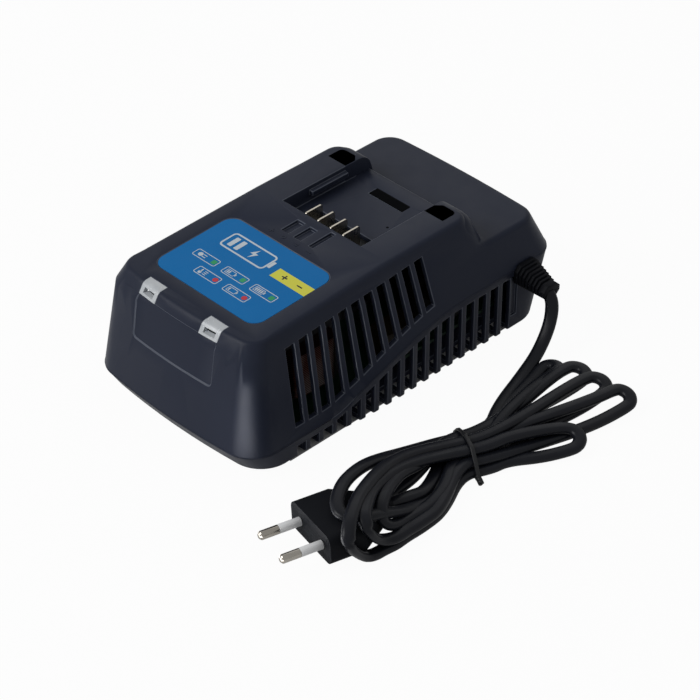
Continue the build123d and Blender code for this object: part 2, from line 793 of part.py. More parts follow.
def tube(name, points):
    """Round tube along straight runs joined by arcs."""
    radii = bend_radii(points)
    with BuildPart() as pipe:
        with BuildLine() as path:
            FilletPolyline(*points, radius=radii)
        with BuildSketch(Plane(origin=path.line @ 0, z_dir=path.line % 0)):
            Circle(cord_diameter / 2)
        sweep()
    length_along = sum(edge.length for edge in path.line.edges())
    expected = length_along * pi * cord_diameter**2 / 4
    print(name, "bend radii", [round(r, 1) for r in radii], "volume over section x length", pipe.part.volume / expected)
    return pipe.part


cord_lie = cord_diameter / 2
mains_cord = tube(
    "mains_cord",
    [
        (45, boot_y, boot_z),
        (56, boot_y, boot_z - 0.6),
        (69.5, boot_y, boot_z - 3.7),
        (73.3, 68, 16),
        (76.5, 57, 6),
        (80, 43, cord_lie),
        (88, 18, cord_lie),
    ],
)
mains_cord.label = "mains_cord"
export_step(mains_cord, "parts/mains_cord.step")

boot_plane = Plane(origin=(rear_half_width, boot_y, boot_z), x_dir=(0, 1, 0), z_dir=(1, 0, 0))
with BuildPart() as strain_relief:
    with BuildSketch(boot_plane):
        Rectangle(boot_neck_width, boot_neck_height)
    extrude(amount=-wall - boot_play)
    with BuildSketch(boot_plane.offset(-wall - boot_play)):
        Rectangle(boot_neck_width + 2 * boot_lip, boot_neck_height)
    extrude(amount=-boot_lip)
    with BuildSketch(boot_plane) as flange:
        Rectangle(boot_width, boot_height)
        chamfer(flange.vertices(), length=boot_corner)
    extrude(amount=boot_flange)
    for k in range(boot_rings + 1):
        shrink = boot_taper * (k + 1)
        start = boot_flange + k * boot_ring_pitch
        with BuildSketch(boot_plane.offset(start)):
            with Locations((0, -boot_sag * k)):
                Rectangle(boot_core_width - shrink, boot_core_height - shrink)
        extrude(amount=boot_ring_pitch)
        with BuildSketch(boot_plane.offset(start + boot_ring_pitch - boot_ring)) as ring:
            with Locations((0, -boot_sag * (k + 1))):
                Rectangle(boot_width - shrink, boot_height - shrink)
            chamfer(ring.vertices(), length=boot_corner)
        extrude(amount=boot_end if k == boot_rings else boot_ring)
    add(mains_cord, mode=Mode.SUBTRACT)
strain_relief.part.label = "strain_relief"
export_step(strain_relief.part, "parts/strain_relief.step")


# ---- plug ----
plug_sin = sin(radians(plug_heading))
plug_cos = cos(radians(plug_heading))
plug_level = Plane(
    origin=(plug_x, plug_y, plug_z),
    x_dir=(-plug_sin, plug_cos, 0),
    z_dir=(plug_cos, plug_sin, 0),
)
plug_plane = Plane(plug_level.location * Rotation(0, 0, plug_roll))
plug_tail = plug_body_length + plug_sleeve

with BuildPart() as plug_pins:
    with BuildSketch(plug_plane.offset(pin_sleeve)):
        with GridLocations(pin_pitch, 0, 2, 1):
            Circle(pin_radius)
    extrude(amount=pin_length - pin_sleeve)
    with BuildSketch(plug_plane.offset(-pin_sleeve)):
        with GridLocations(pin_pitch, 0, 2, 1):
            Circle(pin_core)
    extrude(amount=2 * pin_sleeve)
    chamfer(plug_pins.edges().sort_by(Axis(plug_plane.origin, plug_plane.z_dir))[-2:], length=0.9)
plug_pins.part.label = "plug_pins"
export_step(plug_pins.part, "parts/plug_pins.step")

with BuildPart() as pin_sleeves:
    with BuildSketch(plug_plane):
        with GridLocations(pin_pitch, 0, 2, 1):
            Circle(pin_radius)
            Circle(pin_core, mode=Mode.SUBTRACT)
    extrude(amount=pin_sleeve)
pin_sleeves.part.label = "pin_sleeves"
export_step(pin_sleeves.part, "parts/pin_sleeves.step")

with BuildPart() as plug_body:
    for back, width, height in (
        (0, plug_width, plug_height),
        (plug_full_length, plug_width, plug_height),
        (plug_body_length, plug_tail_width, plug_tail_height),
        (plug_tail, plug_tail_width - 2, plug_tail_height - 1.5),
    ):
        with BuildSketch(plug_plane.offset(-back)):
            RectangleRounded(width, height, plug_corner * height / plug_height)
    loft(ruled=True)
    add(plug_pins.part, mode=Mode.SUBTRACT)
plug_body.part.label = "plug_body"
export_step(plug_body.part, "parts/plug_body.step")

tail_x = plug_x - plug_tail * plug_cos
tail_y = plug_y - plug_tail * plug_sin
plug_lead = tube(
    "plug_lead",
    [
        (tail_x, tail_y, plug_z),
        (tail_x - 10 * plug_cos, tail_y - 10 * plug_sin, plug_z),
        (tail_x + 3, tail_y + 20, plug_z - 3),
    ],
)
plug_lead.label = "plug_lead"
export_step(plug_lead, "parts/plug_lead.step")


# ---- tied hank: its outer shape, lying on the floor and over the plug ----
strand = Vector(cos(radians(tie_angle)), sin(radians(tie_angle)), 0)
tie_plane = Plane(origin=(tie_x, tie_y, 0), x_dir=(-strand.Y, strand.X, 0), z_dir=strand)
waist = [
    (tie_x + side * (tie_width / 2 - waist_radius) * strand.Y, tie_y - side * (tie_width / 2 - waist_radius) * strand.X)
    for side in (-1, 1)
]
far_lobe = [(93, 48), (104, 55), (119, 56), (122, 21)]
near_lobe = [(88, -58), (96, -77), (110, -85), (112, -45)]

with BuildPart() as cord_tie:
    with BuildSketch(tie_plane):
        with Locations((0, (hank_height + tie_thick) / 2)):
            RectangleRounded(tie_width + 2 * tie_thick, hank_height + tie_thick, 3)
    extrude(amount=tie_band, both=True)
    with BuildSketch(tie_plane):
        with Locations((0, (hank_height + tie_thick) / 2)):
            RectangleRounded(tie_width, hank_height - tie_thick, 2.5)
    extrude(amount=2 * tie_band, both=True, mode=Mode.SUBTRACT)
cord_tie.part.label = "cord_tie"
export_step(cord_tie.part, "parts/cord_tie.step")

with BuildPart() as cord_hank:
    for lobe in (far_lobe, near_lobe):
        with BuildSketch() as outline:
            with Locations(*waist):
                Circle(waist_radius)
            with Locations(*lobe):
                Circle(hank_lobe)
            make_hull(outline.edges())
        extrude(amount=hank_rise)
    with BuildSketch(Plane.YZ):
        Polygon(
            (reach, 0),
            (reach, hank_height),
            (tie_y, hank_height),
            (near_lobe[0][1], hank_rise),
            (-reach, hank_rise),
            (-reach, 0),
            align=None,
        )
    extrude(amount=reach, both=True, mode=Mode.INTERSECT)
    add(plug_body.part, mode=Mode.SUBTRACT)
    add(plug_pins.part, mode=Mode.SUBTRACT)
    add(plug_lead, mode=Mode.SUBTRACT)
    add(mains_cord, mode=Mode.SUBTRACT)
    add(cord_tie.part, mode=Mode.SUBTRACT)
cord_hank.part.label = "cord_hank"
export_step(cord_hank.part, "parts/cord_hank.step")
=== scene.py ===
from math import atan2, cos, pi, radians, sin

import bmesh
import bpy
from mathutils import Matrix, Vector


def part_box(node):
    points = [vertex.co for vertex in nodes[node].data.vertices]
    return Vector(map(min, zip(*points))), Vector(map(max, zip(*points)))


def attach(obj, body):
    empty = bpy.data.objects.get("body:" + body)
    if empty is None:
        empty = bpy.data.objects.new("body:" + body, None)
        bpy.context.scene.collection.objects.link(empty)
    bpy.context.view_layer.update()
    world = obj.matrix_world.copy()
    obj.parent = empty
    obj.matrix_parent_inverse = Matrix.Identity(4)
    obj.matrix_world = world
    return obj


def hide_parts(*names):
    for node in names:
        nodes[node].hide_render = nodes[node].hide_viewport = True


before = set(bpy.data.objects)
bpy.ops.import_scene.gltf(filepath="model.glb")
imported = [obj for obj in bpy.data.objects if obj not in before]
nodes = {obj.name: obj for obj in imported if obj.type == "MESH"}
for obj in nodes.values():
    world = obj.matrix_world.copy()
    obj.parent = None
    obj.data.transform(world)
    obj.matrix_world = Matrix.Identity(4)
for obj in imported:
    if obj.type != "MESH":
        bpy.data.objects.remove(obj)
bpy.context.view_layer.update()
mm = 0.001
chargerBody = "charger"


# selection and clean-up
def showOnly(piece):
    bpy.ops.object.select_all(action="DESELECT")
    bpy.context.view_layer.objects.active = piece
    piece.select_set(True)


def applyModifiers(piece):
    showOnly(piece)
    for modifier in list(piece.modifiers):
        bpy.ops.object.modifier_apply(modifier=modifier.name)


def settle(piece):
    # place goes into the mesh, so the object stays at the origin
    showOnly(piece)
    bpy.ops.object.transform_apply(location=True, rotation=True, scale=True)


def wear(piece, material):
    piece.data.materials.clear()
    piece.data.materials.append(material)


edgeWork = {"merge": 0.005, "flat": 0.3, "smoothPast": 5.0}


def weldedCopy(nodeName, pieceName):
    # CAD triangles joined up and flat faces merged, ready for a bevel
    piece = nodes[nodeName].copy()
    piece.data = nodes[nodeName].data.copy()
    piece.name = pieceName
    piece.parent = None
    for key in list(piece.keys()):
        del piece[key]
    bpy.context.scene.collection.objects.link(piece)
    showOnly(piece)
    bpy.ops.object.mode_set(mode="EDIT")
    bpy.ops.mesh.select_all(action="SELECT")
    bpy.ops.mesh.remove_doubles(threshold=edgeWork["merge"] * mm)
    bpy.ops.mesh.dissolve_limited(angle_limit=radians(edgeWork["flat"]))
    bpy.ops.object.mode_set(mode="OBJECT")
    return piece


seam = {
    "low": 11.0, "high": 33.5, "start": -46.0, "run": 80.0, "sharpness": 0.65, "near": 0.3,
    "width": 0.7, "segments": 2, "centreReach": 40.0, "rimTilt": 0.6, "facing": 0.3,
}


def seamHeight(y):
    # height of the line where the two housings meet
    share = min(max((y - seam["start"]) / seam["run"], 0.0), 1.0) ** seam["sharpness"]
    return seam["low"] + (seam["high"] - seam["low"]) * share * share * (3 - 2 * share)


def markSeam(piece):
    # bevel weight on the outer edges along that line
    cage = bmesh.new()
    cage.from_mesh(piece.data)
    weight = cage.edges.layers.float.new("bevel_weight_edge")
    for edge in cage.edges:
        spots = [vert.co / mm for vert in edge.verts]
        away = max(abs(spot.z - seamHeight(spot.y)) for spot in spots)
        if len(edge.link_faces) != 2 or away > seam["near"]:
            continue
        wall, rim = sorted((face.normal for face in edge.link_faces), key=lambda normal: abs(normal.z))
        middle = (spots[0] + spots[1]) / 2
        centre = min(max(middle.y, -seam["centreReach"]), seam["centreReach"])
        outward = Vector((middle.x, middle.y - centre, 0)).normalized()
        if abs(wall.z) < seam["rimTilt"] < abs(rim.z) and wall.dot(outward) > seam["facing"]:
            edge[weight] = 1.0
    cage.to_mesh(piece.data)
    cage.free()


def bevelled(nodeName, look):
    piece = weldedCopy(nodeName, look["name"])
    seamed = look.get("seamed", False)
    if seamed:
        markSeam(piece)
        groove = piece.modifiers.new("groove", "BEVEL")
        groove.width = seam["width"] * mm
        groove.segments = seam["segments"]
        groove.limit_method = "WEIGHT"
    soften = piece.modifiers.new("soften", "BEVEL")
    soften.width = look["width"] * mm
    soften.segments = look["segments"]
    soften.limit_method = "ANGLE"
    soften.angle_limit = radians(look["corner"])
    soften.use_clamp_overlap = not seamed  # tiny edges would clamp a housing's bevel to nothing
    wear(piece, materials[look["finish"]])
    # the bevel faces take the lighter edge colour: a painted highlight along the housings' edges
    if seamed:
        piece.data.materials.append(materials["rubbedEdge"])
        soften.material = 1
    applyModifiers(piece)
    bpy.ops.object.shade_smooth_by_angle(angle=radians(look["corner"] + edgeWork["smoothPast"]))
    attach(piece, chargerBody)
    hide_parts(nodeName)
    return piece


# shader helpers
def linear(red, green, blue):
    # screen values 0 to 255 to the linear colour that nodes take
    parts = [c / 255 for c in (red, green, blue)]
    return tuple(c / 12.92 if c <= 0.04045 else ((c + 0.055) / 1.055) ** 2.4 for c in parts) + (1.0,)


def addNode(tree, kind, inputs=None, **settings):
    node = tree.nodes.new(kind)
    for key, value in settings.items():
        setattr(node, key, value)
    for socket, value in (inputs or {}).items():
        if isinstance(value, bpy.types.NodeSocket):
            tree.links.new(value, node.inputs[socket])
        else:
            node.inputs[socket].default_value = value
    return node


def newGroup(name, inputs, outputs):
    group = bpy.data.node_groups.new(name, "ShaderNodeTree")
    for socket, kind in inputs.items():
        group.interface.new_socket(socket, in_out="INPUT", socket_type=kind)
    for socket, kind in outputs.items():
        group.interface.new_socket(socket, in_out="OUTPUT", socket_type=kind)
    start = group.nodes.new("NodeGroupInput")
    end = group.nodes.new("NodeGroupOutput")
    return group, start.outputs, end.inputs


def buildGrainGroup():
    # fine spark-eroded texture of moulded plastic
    group, given, out = newGroup(
        "mouldedGrain",
        {"Vector": "NodeSocketVector", "Scale": "NodeSocketFloat", "Depth": "NodeSocketFloat"},
        {"Normal": "NodeSocketVector"},
    )
    fine = addNode(
        group, "ShaderNodeTexNoise", {"Vector": given["Vector"], "Scale": given["Scale"], "Detail": 3.0}
    )
    pits = addNode(group, "ShaderNodeTexVoronoi", {"Vector": given["Vector"], "Scale": given["Scale"]})
    joined = addNode(
        group, "ShaderNodeMath", {0: fine.outputs["Fac"], 1: pits.outputs["Distance"]}, operation="MULTIPLY"
    )
    bump = addNode(
        group,
        "ShaderNodeBump",
        {"Strength": given["Depth"], "Distance": 0.05 * mm, "Height": joined.outputs[0]},
    )
    group.links.new(bump.outputs["Normal"], out["Normal"])
    return group


def buildDriftGroup():
    # slow change of tone, with faint handling marks
    group, given, out = newGroup(
        "toneDrift",
        {
            "Vector": "NodeSocketVector",
            "Colour": "NodeSocketColor",
            "Worn": "NodeSocketColor",
            "Scale": "NodeSocketFloat",
            "Amount": "NodeSocketFloat",
            "Rough": "NodeSocketFloat",
            "Rough Change": "NodeSocketFloat",
        },
        {"Colour": "NodeSocketColor", "Roughness": "NodeSocketFloat"},
    )
    clouds = addNode(
        group,
        "ShaderNodeTexNoise",
        {"Vector": given["Vector"], "Scale": given["Scale"], "Detail": 4.0, "Roughness": 0.6},
    )
    spread = addNode(
        group,
        "ShaderNodeMapRange",
        {"Value": clouds.outputs["Fac"], "From Min": 0.35, "From Max": 0.65},
    )
    share = addNode(
        group, "ShaderNodeMath", {0: spread.outputs["Result"], 1: given["Amount"]}, operation="MULTIPLY"
    )
    mixed = addNode(
        group,
        "ShaderNodeMix",
        {"Factor": share.outputs[0], "A": given["Colour"], "B": given["Worn"]},
        data_type="RGBA",
    )
    scale = addNode(group, "ShaderNodeMath", {0: given["Scale"], 1: 5.0}, operation="MULTIPLY")
    smudge = addNode(
        group, "ShaderNodeTexNoise", {"Vector": given["Vector"], "Scale": scale.outputs[0], "Detail": 2.0}
    )
    offset = addNode(group, "ShaderNodeMath", {0: smudge.outputs["Fac"], 1: 0.5}, operation="SUBTRACT")
    rough = addNode(
        group,
        "ShaderNodeMath",
        {0: offset.outputs[0], 1: given["Rough Change"], 2: given["Rough"]},
        operation="MULTIPLY_ADD",
    )
    group.links.new(mixed.outputs["Result"], out["Colour"])
    group.links.new(rough.outputs[0], out["Roughness"])
    return group


def buildEdgeGroup():
    # 1 along rubbed outer edges, 0 elsewhere
    group, given, out = newGroup(
        "edgeRub",
        {"Vector": "NodeSocketVector", "Scale": "NodeSocketFloat"},
        {"Mask": "NodeSocketFloat"},
    )
    shape = addNode(group, "ShaderNodeNewGeometry")
    edge = addNode(
        group,
        "ShaderNodeMapRange",
        {"Value": shape.outputs["Pointiness"], "From Min": 0.52, "From Max": 0.62},
    )
    patchy = addNode(
        group, "ShaderNodeTexNoise", {"Vector": given["Vector"], "Scale": given["Scale"], "Detail": 3.0}
    )
    mask = addNode(
        group, "ShaderNodeMath", {0: edge.outputs["Result"], 1: patchy.outputs["Fac"]}, operation="MULTIPLY"
    )
    group.links.new(mask.outputs[0], out["Mask"])
    return group


mouldedGrain = buildGrainGroup()
toneDrift = buildDriftGroup()
edgeRub = buildEdgeGroup()


def newMaterial(name, shared):
    material = bpy.data.materials.new(name)
    material.use_nodes = True
    tree = material.node_tree
    tree.nodes.clear()
    shader = addNode(tree, "ShaderNodeBsdfPrincipled", shared)
    addNode(tree, "ShaderNodeOutputMaterial", {"Surface": shader.outputs["BSDF"]})
    spot = addNode(tree, "ShaderNodeTexCoord").outputs["Object"]
    return material, tree, shader, spot


def place(tree, group, inputs):
    return addNode(tree, "ShaderNodeGroup", inputs, node_tree=group)


def plastic(name, look):
    # colour drifting towards worn under a fine grain; rub is how far the outer edges turn to rubColour
    shared = {"Specular IOR Level": look.get("shine", 0.4), "Metallic": look.get("metal", 0.0)}
    material, tree, shader, spot = newMaterial(name, shared)
    tone = place(
        tree,
        toneDrift,
        {
            "Vector": spot,
            "Colour": look["colour"],
            "Worn": look["worn"],
            "Scale": look.get("driftScale", 25.0),
            "Amount": look.get("drift", 0.5),
            "Rough": look["rough"],
            "Rough Change": look.get("roughChange", 0.15),
        },
    )
    colour = tone.outputs["Colour"]
    if "rub" in look:
        mask = place(tree, edgeRub, {"Vector": spot, "Scale": 300.0}).outputs["Mask"]
        amount = addNode(tree, "ShaderNodeMath", {0: mask, 1: look["rub"]}, operation="MULTIPLY")
        colour = addNode(
            tree,
            "ShaderNodeMix",
            {"Factor": amount.outputs[0], "A": colour, "B": look.get("rubColour", look["worn"])},
            data_type="RGBA",
        ).outputs["Result"]
    grain = place(tree, mouldedGrain, {"Vector": spot, "Scale": look["grain"], "Depth": look["depth"]})
    tree.links.new(colour, shader.inputs["Base Color"])
    tree.links.new(tone.outputs["Roughness"], shader.inputs["Roughness"])
    tree.links.new(grain.outputs["Normal"], shader.inputs["Normal"])
    return material


finishes = {
    "housingTop": {
        "colour": linear(40, 45, 60), "worn": linear(45, 50, 66), "drift": 0.3, "rough": 0.38,
        "grain": 2600.0, "depth": 0.3, "shine": 0.14,
    },
    # same plastic as the top, a shade darker: painted shade of the lower housing
    "housingBase": {
        "colour": linear(39, 43, 57), "worn": linear(44, 48, 63), "drift": 0.3, "rough": 0.4,
        "grain": 2600.0, "depth": 0.35, "shine": 0.14,
    },
    # lighter colour for the housings' bevel faces: a painted highlight along every softened edge
    "rubbedEdge": {
        "colour": linear(82, 88, 102), "worn": linear(72, 78, 92), "rough": 0.34, "grain": 2600.0,
        "depth": 0.2, "shine": 0.3,
    },
    "labelBlue": {
        "colour": linear(14, 116, 186), "worn": linear(22, 122, 192), "drift": 0.6, "rough": 0.42,
        "grain": 1800.0, "depth": 0.08, "shine": 0.12,
    },
    "printWhite": {
        "colour": linear(216, 226, 234), "worn": linear(196, 210, 222), "drift": 0.5, "rough": 0.42,
        "grain": 1800.0, "depth": 0.05,
    },
    "printGreen": {
        "colour": linear(34, 158, 98), "worn": linear(48, 170, 110), "drift": 0.5, "rough": 0.4,
        "grain": 1800.0, "depth": 0.05,
    },
    "printRed": {
        "colour": linear(204, 44, 56), "worn": linear(214, 60, 70), "drift": 0.5, "rough": 0.4,
        "grain": 1800.0, "depth": 0.05,
    },
    "printYellow": {
        "colour": linear(232, 230, 74), "worn": linear(224, 220, 84), "drift": 0.5, "rough": 0.4,
        "grain": 1800.0, "depth": 0.05,
    },
    "contactMetal": {
        "colour": linear(206, 200, 188), "worn": linear(176, 166, 150), "drift": 0.7, "rough": 0.28,
        "roughChange": 0.3, "grain": 1500.0, "depth": 0.1, "metal": 1.0, "rub": 0.2,
    },
    "blockPlastic": {
        "colour": linear(22, 23, 26), "worn": linear(30, 31, 35), "rough": 0.55, "grain": 2400.0,
        "depth": 0.3, "rub": 0.4,
    },
    # near-black of the plates in the channel: painted shade in the latch slot and the dimple
    "paintedShadeBlack": {
        "colour": linear(7, 8, 10), "worn": linear(11, 12, 14), "rough": 0.8, "grain": 2400.0,
        "depth": 0.2, "shine": 0.03,
    },
    "bootRubber": {
        "colour": linear(20, 21, 25), "worn": linear(30, 31, 36), "drift": 0.6, "rough": 0.4,
        "grain": 2200.0, "depth": 0.25, "rub": 0.5, "rubColour": linear(36, 39, 46), "shine": 0.05,
    },
    "cordSheath": {
        "colour": linear(21, 23, 29), "worn": linear(27, 29, 37), "drift": 0.6, "rough": 0.34,
        "roughChange": 0.2, "grain": 1400.0, "depth": 0.12, "shine": 0.22,
    },
    "tiePlastic": {
        "colour": linear(18, 19, 22), "worn": linear(34, 35, 38), "rough": 0.42, "grain": 2000.0,
        "depth": 0.2, "rub": 0.4,
    },
    "plugPlastic": {
        "colour": linear(22, 23, 27), "worn": linear(30, 32, 36), "drift": 0.6, "rough": 0.6,
        "grain": 1500.0, "depth": 0.9, "rub": 0.5, "rubColour": linear(54, 57, 63), "shine": 0.06,
    },
    "pinNickel": {
        "colour": linear(196, 192, 184), "worn": linear(160, 154, 144), "drift": 0.7, "rough": 0.24,
        "roughChange": 0.3, "grain": 900.0, "depth": 0.12, "metal": 1.0, "rub": 0.3,
    },
    "sleeveWhite": {
        "colour": linear(250, 251, 252), "worn": linear(242, 243, 245), "rough": 0.4, "grain": 1800.0,
        "depth": 0.1,
    },
    "footRubber": {
        "colour": linear(16, 16, 18), "worn": linear(36, 36, 38), "rough": 0.75, "grain": 1200.0,
        "depth": 0.6, "rub": 0.4,
    },
    # colours of the inner parts below are darkened to about half as painted shade inside the closed housing;
    # the film capacitor's yellow is darkened to a dark brown
    "boardGreen": {
        "colour": linear(18, 42, 30), "worn": linear(24, 54, 36), "drift": 0.8, "driftScale": 160.0,
        "rough": 0.4, "grain": 900.0, "depth": 0.2, "shine": 0.2,
    },
    "ferriteGrey": {
        "colour": linear(36, 36, 39), "worn": linear(48, 48, 50), "rough": 0.7, "grain": 1600.0,
        "depth": 0.6, "shine": 0.2, "rub": 0.4,
    },
    "capacitorSleeve": {
        "colour": linear(24, 28, 52), "worn": linear(34, 38, 64), "rough": 0.35, "grain": 900.0,
        "depth": 0.1, "rub": 0.4,
    },
    "filmYellow": {
        "colour": linear(44, 36, 18), "worn": linear(38, 31, 16), "rough": 0.45, "grain": 900.0,
        "depth": 0.1, "shine": 0.2, "rub": 0.4,
    },
    "sinkAluminium": {
        "colour": linear(96, 98, 102), "worn": linear(80, 82, 86), "rough": 0.45, "roughChange": 0.3,
        "grain": 900.0, "depth": 0.2, "metal": 0.8, "rub": 0.4,
    },
    "fuseCaps": {
        "colour": linear(198, 196, 190), "worn": linear(170, 166, 158), "rough": 0.3, "grain": 900.0,
        "depth": 0.1, "metal": 1.0, "rub": 0.4,
    },
    "screwSteel": {
        "colour": linear(120, 120, 122), "worn": linear(90, 90, 92), "rough": 0.4, "grain": 900.0,
        "depth": 0.2, "metal": 1.0, "rub": 0.4,
    },
    "fanPlastic": {
        "colour": linear(20, 20, 22), "worn": linear(28, 28, 30), "rough": 0.5, "grain": 2000.0,
        "depth": 0.2, "rub": 0.4,
    },
}
materials = {name: plastic(name, look) for name, look in finishes.items()}


# frosted light guides of the indicator windows, and the lenses behind them
clearFinishes = {
    "clearPlastic": {
        "shared": {"Transmission Weight": 0.2, "IOR": 1.49, "Specular IOR Level": 0.6},
        "tone": {
            "Colour": linear(226, 230, 234), "Worn": linear(204, 210, 216), "Scale": 120.0, "Amount": 0.7,
            "Rough": 0.24, "Rough Change": 0.2,
        },
    },
    "lensPlastic": {
        "shared": {"Transmission Weight": 0.5, "IOR": 1.5},
        "tone": {
            "Colour": linear(210, 216, 206), "Worn": linear(186, 194, 182), "Scale": 200.0, "Amount": 0.5,
            "Rough": 0.15, "Rough Change": 0.1,
        },
    },
}


def clearPlastic(name, look):
    material, tree, shader, spot = newMaterial(name, look["shared"])
    tone = place(tree, toneDrift, {"Vector": spot, **look["tone"]})
    tree.links.new(tone.outputs["Colour"], shader.inputs["Base Color"])
    tree.links.new(tone.outputs["Roughness"], shader.inputs["Roughness"])
    return material


# the winding's copper colours are darkened well below copper's own as painted shade inside the housing
copper = {
    "turns": 330.0, "wander": 0.6, "dark": linear(40, 16, 12), "light": linear(78, 36, 24), "ridge": 0.3,
}


def copperWire():
    # turns of lacquered wire round an upright axis
    shared = {"Metallic": 0.85, "Roughness": 0.3, "Coat Weight": 0.4, "Coat Roughness": 0.15}
    material, tree, shader, spot = newMaterial("copperWire", shared)
    turns = addNode(
        tree, "ShaderNodeTexWave", {"Vector": spot, "Scale": copper["turns"], "Distortion": copper["wander"]},
        wave_type="BANDS", bands_direction="Z",
    )
    tone = addNode(
        tree, "ShaderNodeMix", {"Factor": turns.outputs["Fac"], "A": copper["dark"], "B": copper["light"]},
        data_type="RGBA",
    )
    ridge = addNode(
        tree, "ShaderNodeBump",
        {"Strength": 0.7, "Distance": copper["ridge"] * mm, "Height": turns.outputs["Fac"]},
    )
    tree.links.new(tone.outputs["Result"], shader.inputs["Base Color"])
    tree.links.new(ridge.outputs["Normal"], shader.inputs["Normal"])
    return material


for name, look in clearFinishes.items():
    materials[name] = clearPlastic(name, look)
materials["copperWire"] = copperWire()
print("materials ready")

# finish of each CAD node, also of those that a softened copy or the cord replaces further down
nodeFinish = {
    "led_window_left": "clearPlastic", "led_window_right": "clearPlastic", "terminal_block": "blockPlastic",
    "contact_blade_1": "contactMetal", "contact_blade_2": "contactMetal", "contact_blade_3": "contactMetal",
    "contact_blade_4": "contactMetal", "circuit_board": "boardGreen", "indicator_board": "boardGreen",
    "transformer_core": "ferriteGrey", "transformer_winding": "copperWire",
    "bulk_capacitor": "capacitorSleeve", "film_capacitor": "filmYellow", "choke": "ferriteGrey",
    "heat_sink": "sinkAluminium", "power_transistors": "blockPlastic", "fuse": "fuseCaps",
    "status_leds": "lensPlastic", "fan_frame": "fanPlastic", "fan_rotor": "fanPlastic",
    "housing_screws": "screwSteel", "rubber_feet": "footRubber", "status_label": "labelBlue",
    "plug_pins": "pinNickel", "pin_sleeves": "sleeveWhite", "plug_body": "plugPlastic",
    "strain_relief": "bootRubber", "upper_housing": "housingTop", "lower_housing": "housingBase",
    "mains_cord": "cordSheath", "plug_lead": "cordSheath", "cord_hank": "cordSheath",
    "cord_tie": "tiePlastic",
}
for nodeName, finish in nodeFinish.items():
    wear(nodes[nodeName], materials[finish])

# housings and small rigid pieces with softened edges
softEdges = {
    "upper_housing": {
        "name": "upperShell", "finish": "housingTop", "width": 0.3, "segments": 2, "corner": 30,
        "seamed": True,
    },
    "lower_housing": {
        "name": "lowerShell", "finish": "housingBase", "width": 0.3, "segments": 2, "corner": 30,
        "seamed": True,
    },
    "strain_relief": {
        "name": "cordBoot", "finish": "bootRubber", "width": 0.35, "segments": 2, "corner": 30,
    },
    "plug_body": {
        "name": "plugShell", "finish": "plugPlastic", "width": 1.8, "segments": 4, "corner": 30,
    },
    "plug_pins": {
        "name": "plugPinTips", "finish": "pinNickel", "width": 0.4, "segments": 3, "corner": 25,
    },
    "pin_sleeves": {
        "name": "pinSleeves", "finish": "sleeveWhite", "width": 0.12, "segments": 2, "corner": 30,
    },
}
softPieces = {nodeName: bevelled(nodeName, look) for nodeName, look in softEdges.items()}
print("housings ready")

# label print: thin plates of ink on the sloping label
label = {
    "lift": 0.01, "ink": 0.03, "sheet": 0.4, "line": 0.38, "corner": 1.0,
    "boxWidth": 13.9, "boxDepth": 4.9,
    "upperBoxes": (-17.45, 0.55, 18.2), "upperRow": -5.1,
    "lowerBoxes": (-8.0, 9.9), "lowerRow": -12.9,
    "lampPlace": 4.8, "greenLamp": (2.5, 2.7, 0.6), "redLamp": 1.35,
    "tag": (21.3, 8.2, 21.0, 6.5), "tagMark": (4.5, 3.0, 0.7),
}
# what stands in each box, from the box's middle: discs, bars and battery cells
signs = [
    {"disc": (-3.6, 0.0, 1.25), "bars": [(-1.2, 0.7, 2.0, 0.45), (-1.2, -0.7, 2.0, 0.45)]},
    {"cell": (-2.8, 5.2, 2.9, 2)},
    {"cell": (-2.8, 5.6, 2.9, 4)},
    {
        "disc": (-4.2, -0.8, 0.9),
        "bars": [(-4.2, 0.6, 0.7, 2.0), (-1.6, -1.0, 1.8, 0.4), (-1.6, 0.0, 1.8, 0.4), (-1.6, 1.0, 1.8, 0.4)],
    },
    {"cell": (-2.8, 5.2, 2.9, 1)},
]
cell = {
    "corner": 0.4, "line": 0.3, "nubPlace": 0.4, "nubWidth": 0.5, "nubShare": 0.45,
    "bars": 4, "margin": 0.6, "barShare": 0.7, "barMargin": 0.65,
}
emblem = {
    "place": (-8.0, 10.5), "width": 27.0, "depth": 11.0, "corner": 2.2, "line": 0.9,
    "nubPlace": 0.9, "nubWidth": 1.6, "nubShare": 0.42,
    "bars": 2, "barStart": -9.18, "barPitch": 4.0, "barWidth": 2.4, "barMargin": 2.2, "barCorner": 0.4,
    "boltPlace": 3.4, "boltSize": 3.6,
}
# raised marks moulded in front of the contacts
marks = {
    "row": 27.4, "lift": 0.1, "height": 0.3,
    "plus": (-11.8, 2.6, 0.6), "ring": (-4.4, 1.2, 0.7),
    "pair": (3.5, 0.6, 2.2, 0.5), "minus": (11.1, 2.6, 0.6),
}


def roundedBox(x, y, width, depth, radius, steps=5):
    points = []
    for turn, (sx, sy) in enumerate(((1, 1), (-1, 1), (-1, -1), (1, -1))):
        cx = x + sx * (width / 2 - radius)
        cy = y + sy * (depth / 2 - radius)
        for k in range(steps + 1):
            angle = pi / 2 * (turn + k / steps)
            points.append((cx + radius * cos(angle), cy + radius * sin(angle)))
    return points


def disc(x, y, radius, steps=28):
    angles = [2 * pi * k / steps for k in range(steps)]
    return [(x + radius * cos(angle), y + radius * sin(angle)) for angle in angles]


def boxLine(x, y, width, depth, radius, line):
    inner = roundedBox(x, y, width - 2 * line, depth - 2 * line, max(radius - line, 0.1))
    return [roundedBox(x, y, width, depth, radius), inner]


def bar(x, y, width, depth):
    corners = ((-1, -1), (1, -1), (1, 1), (-1, 1))
    return [(x + sx * width / 2, y + sy * depth / 2) for sx, sy in corners]


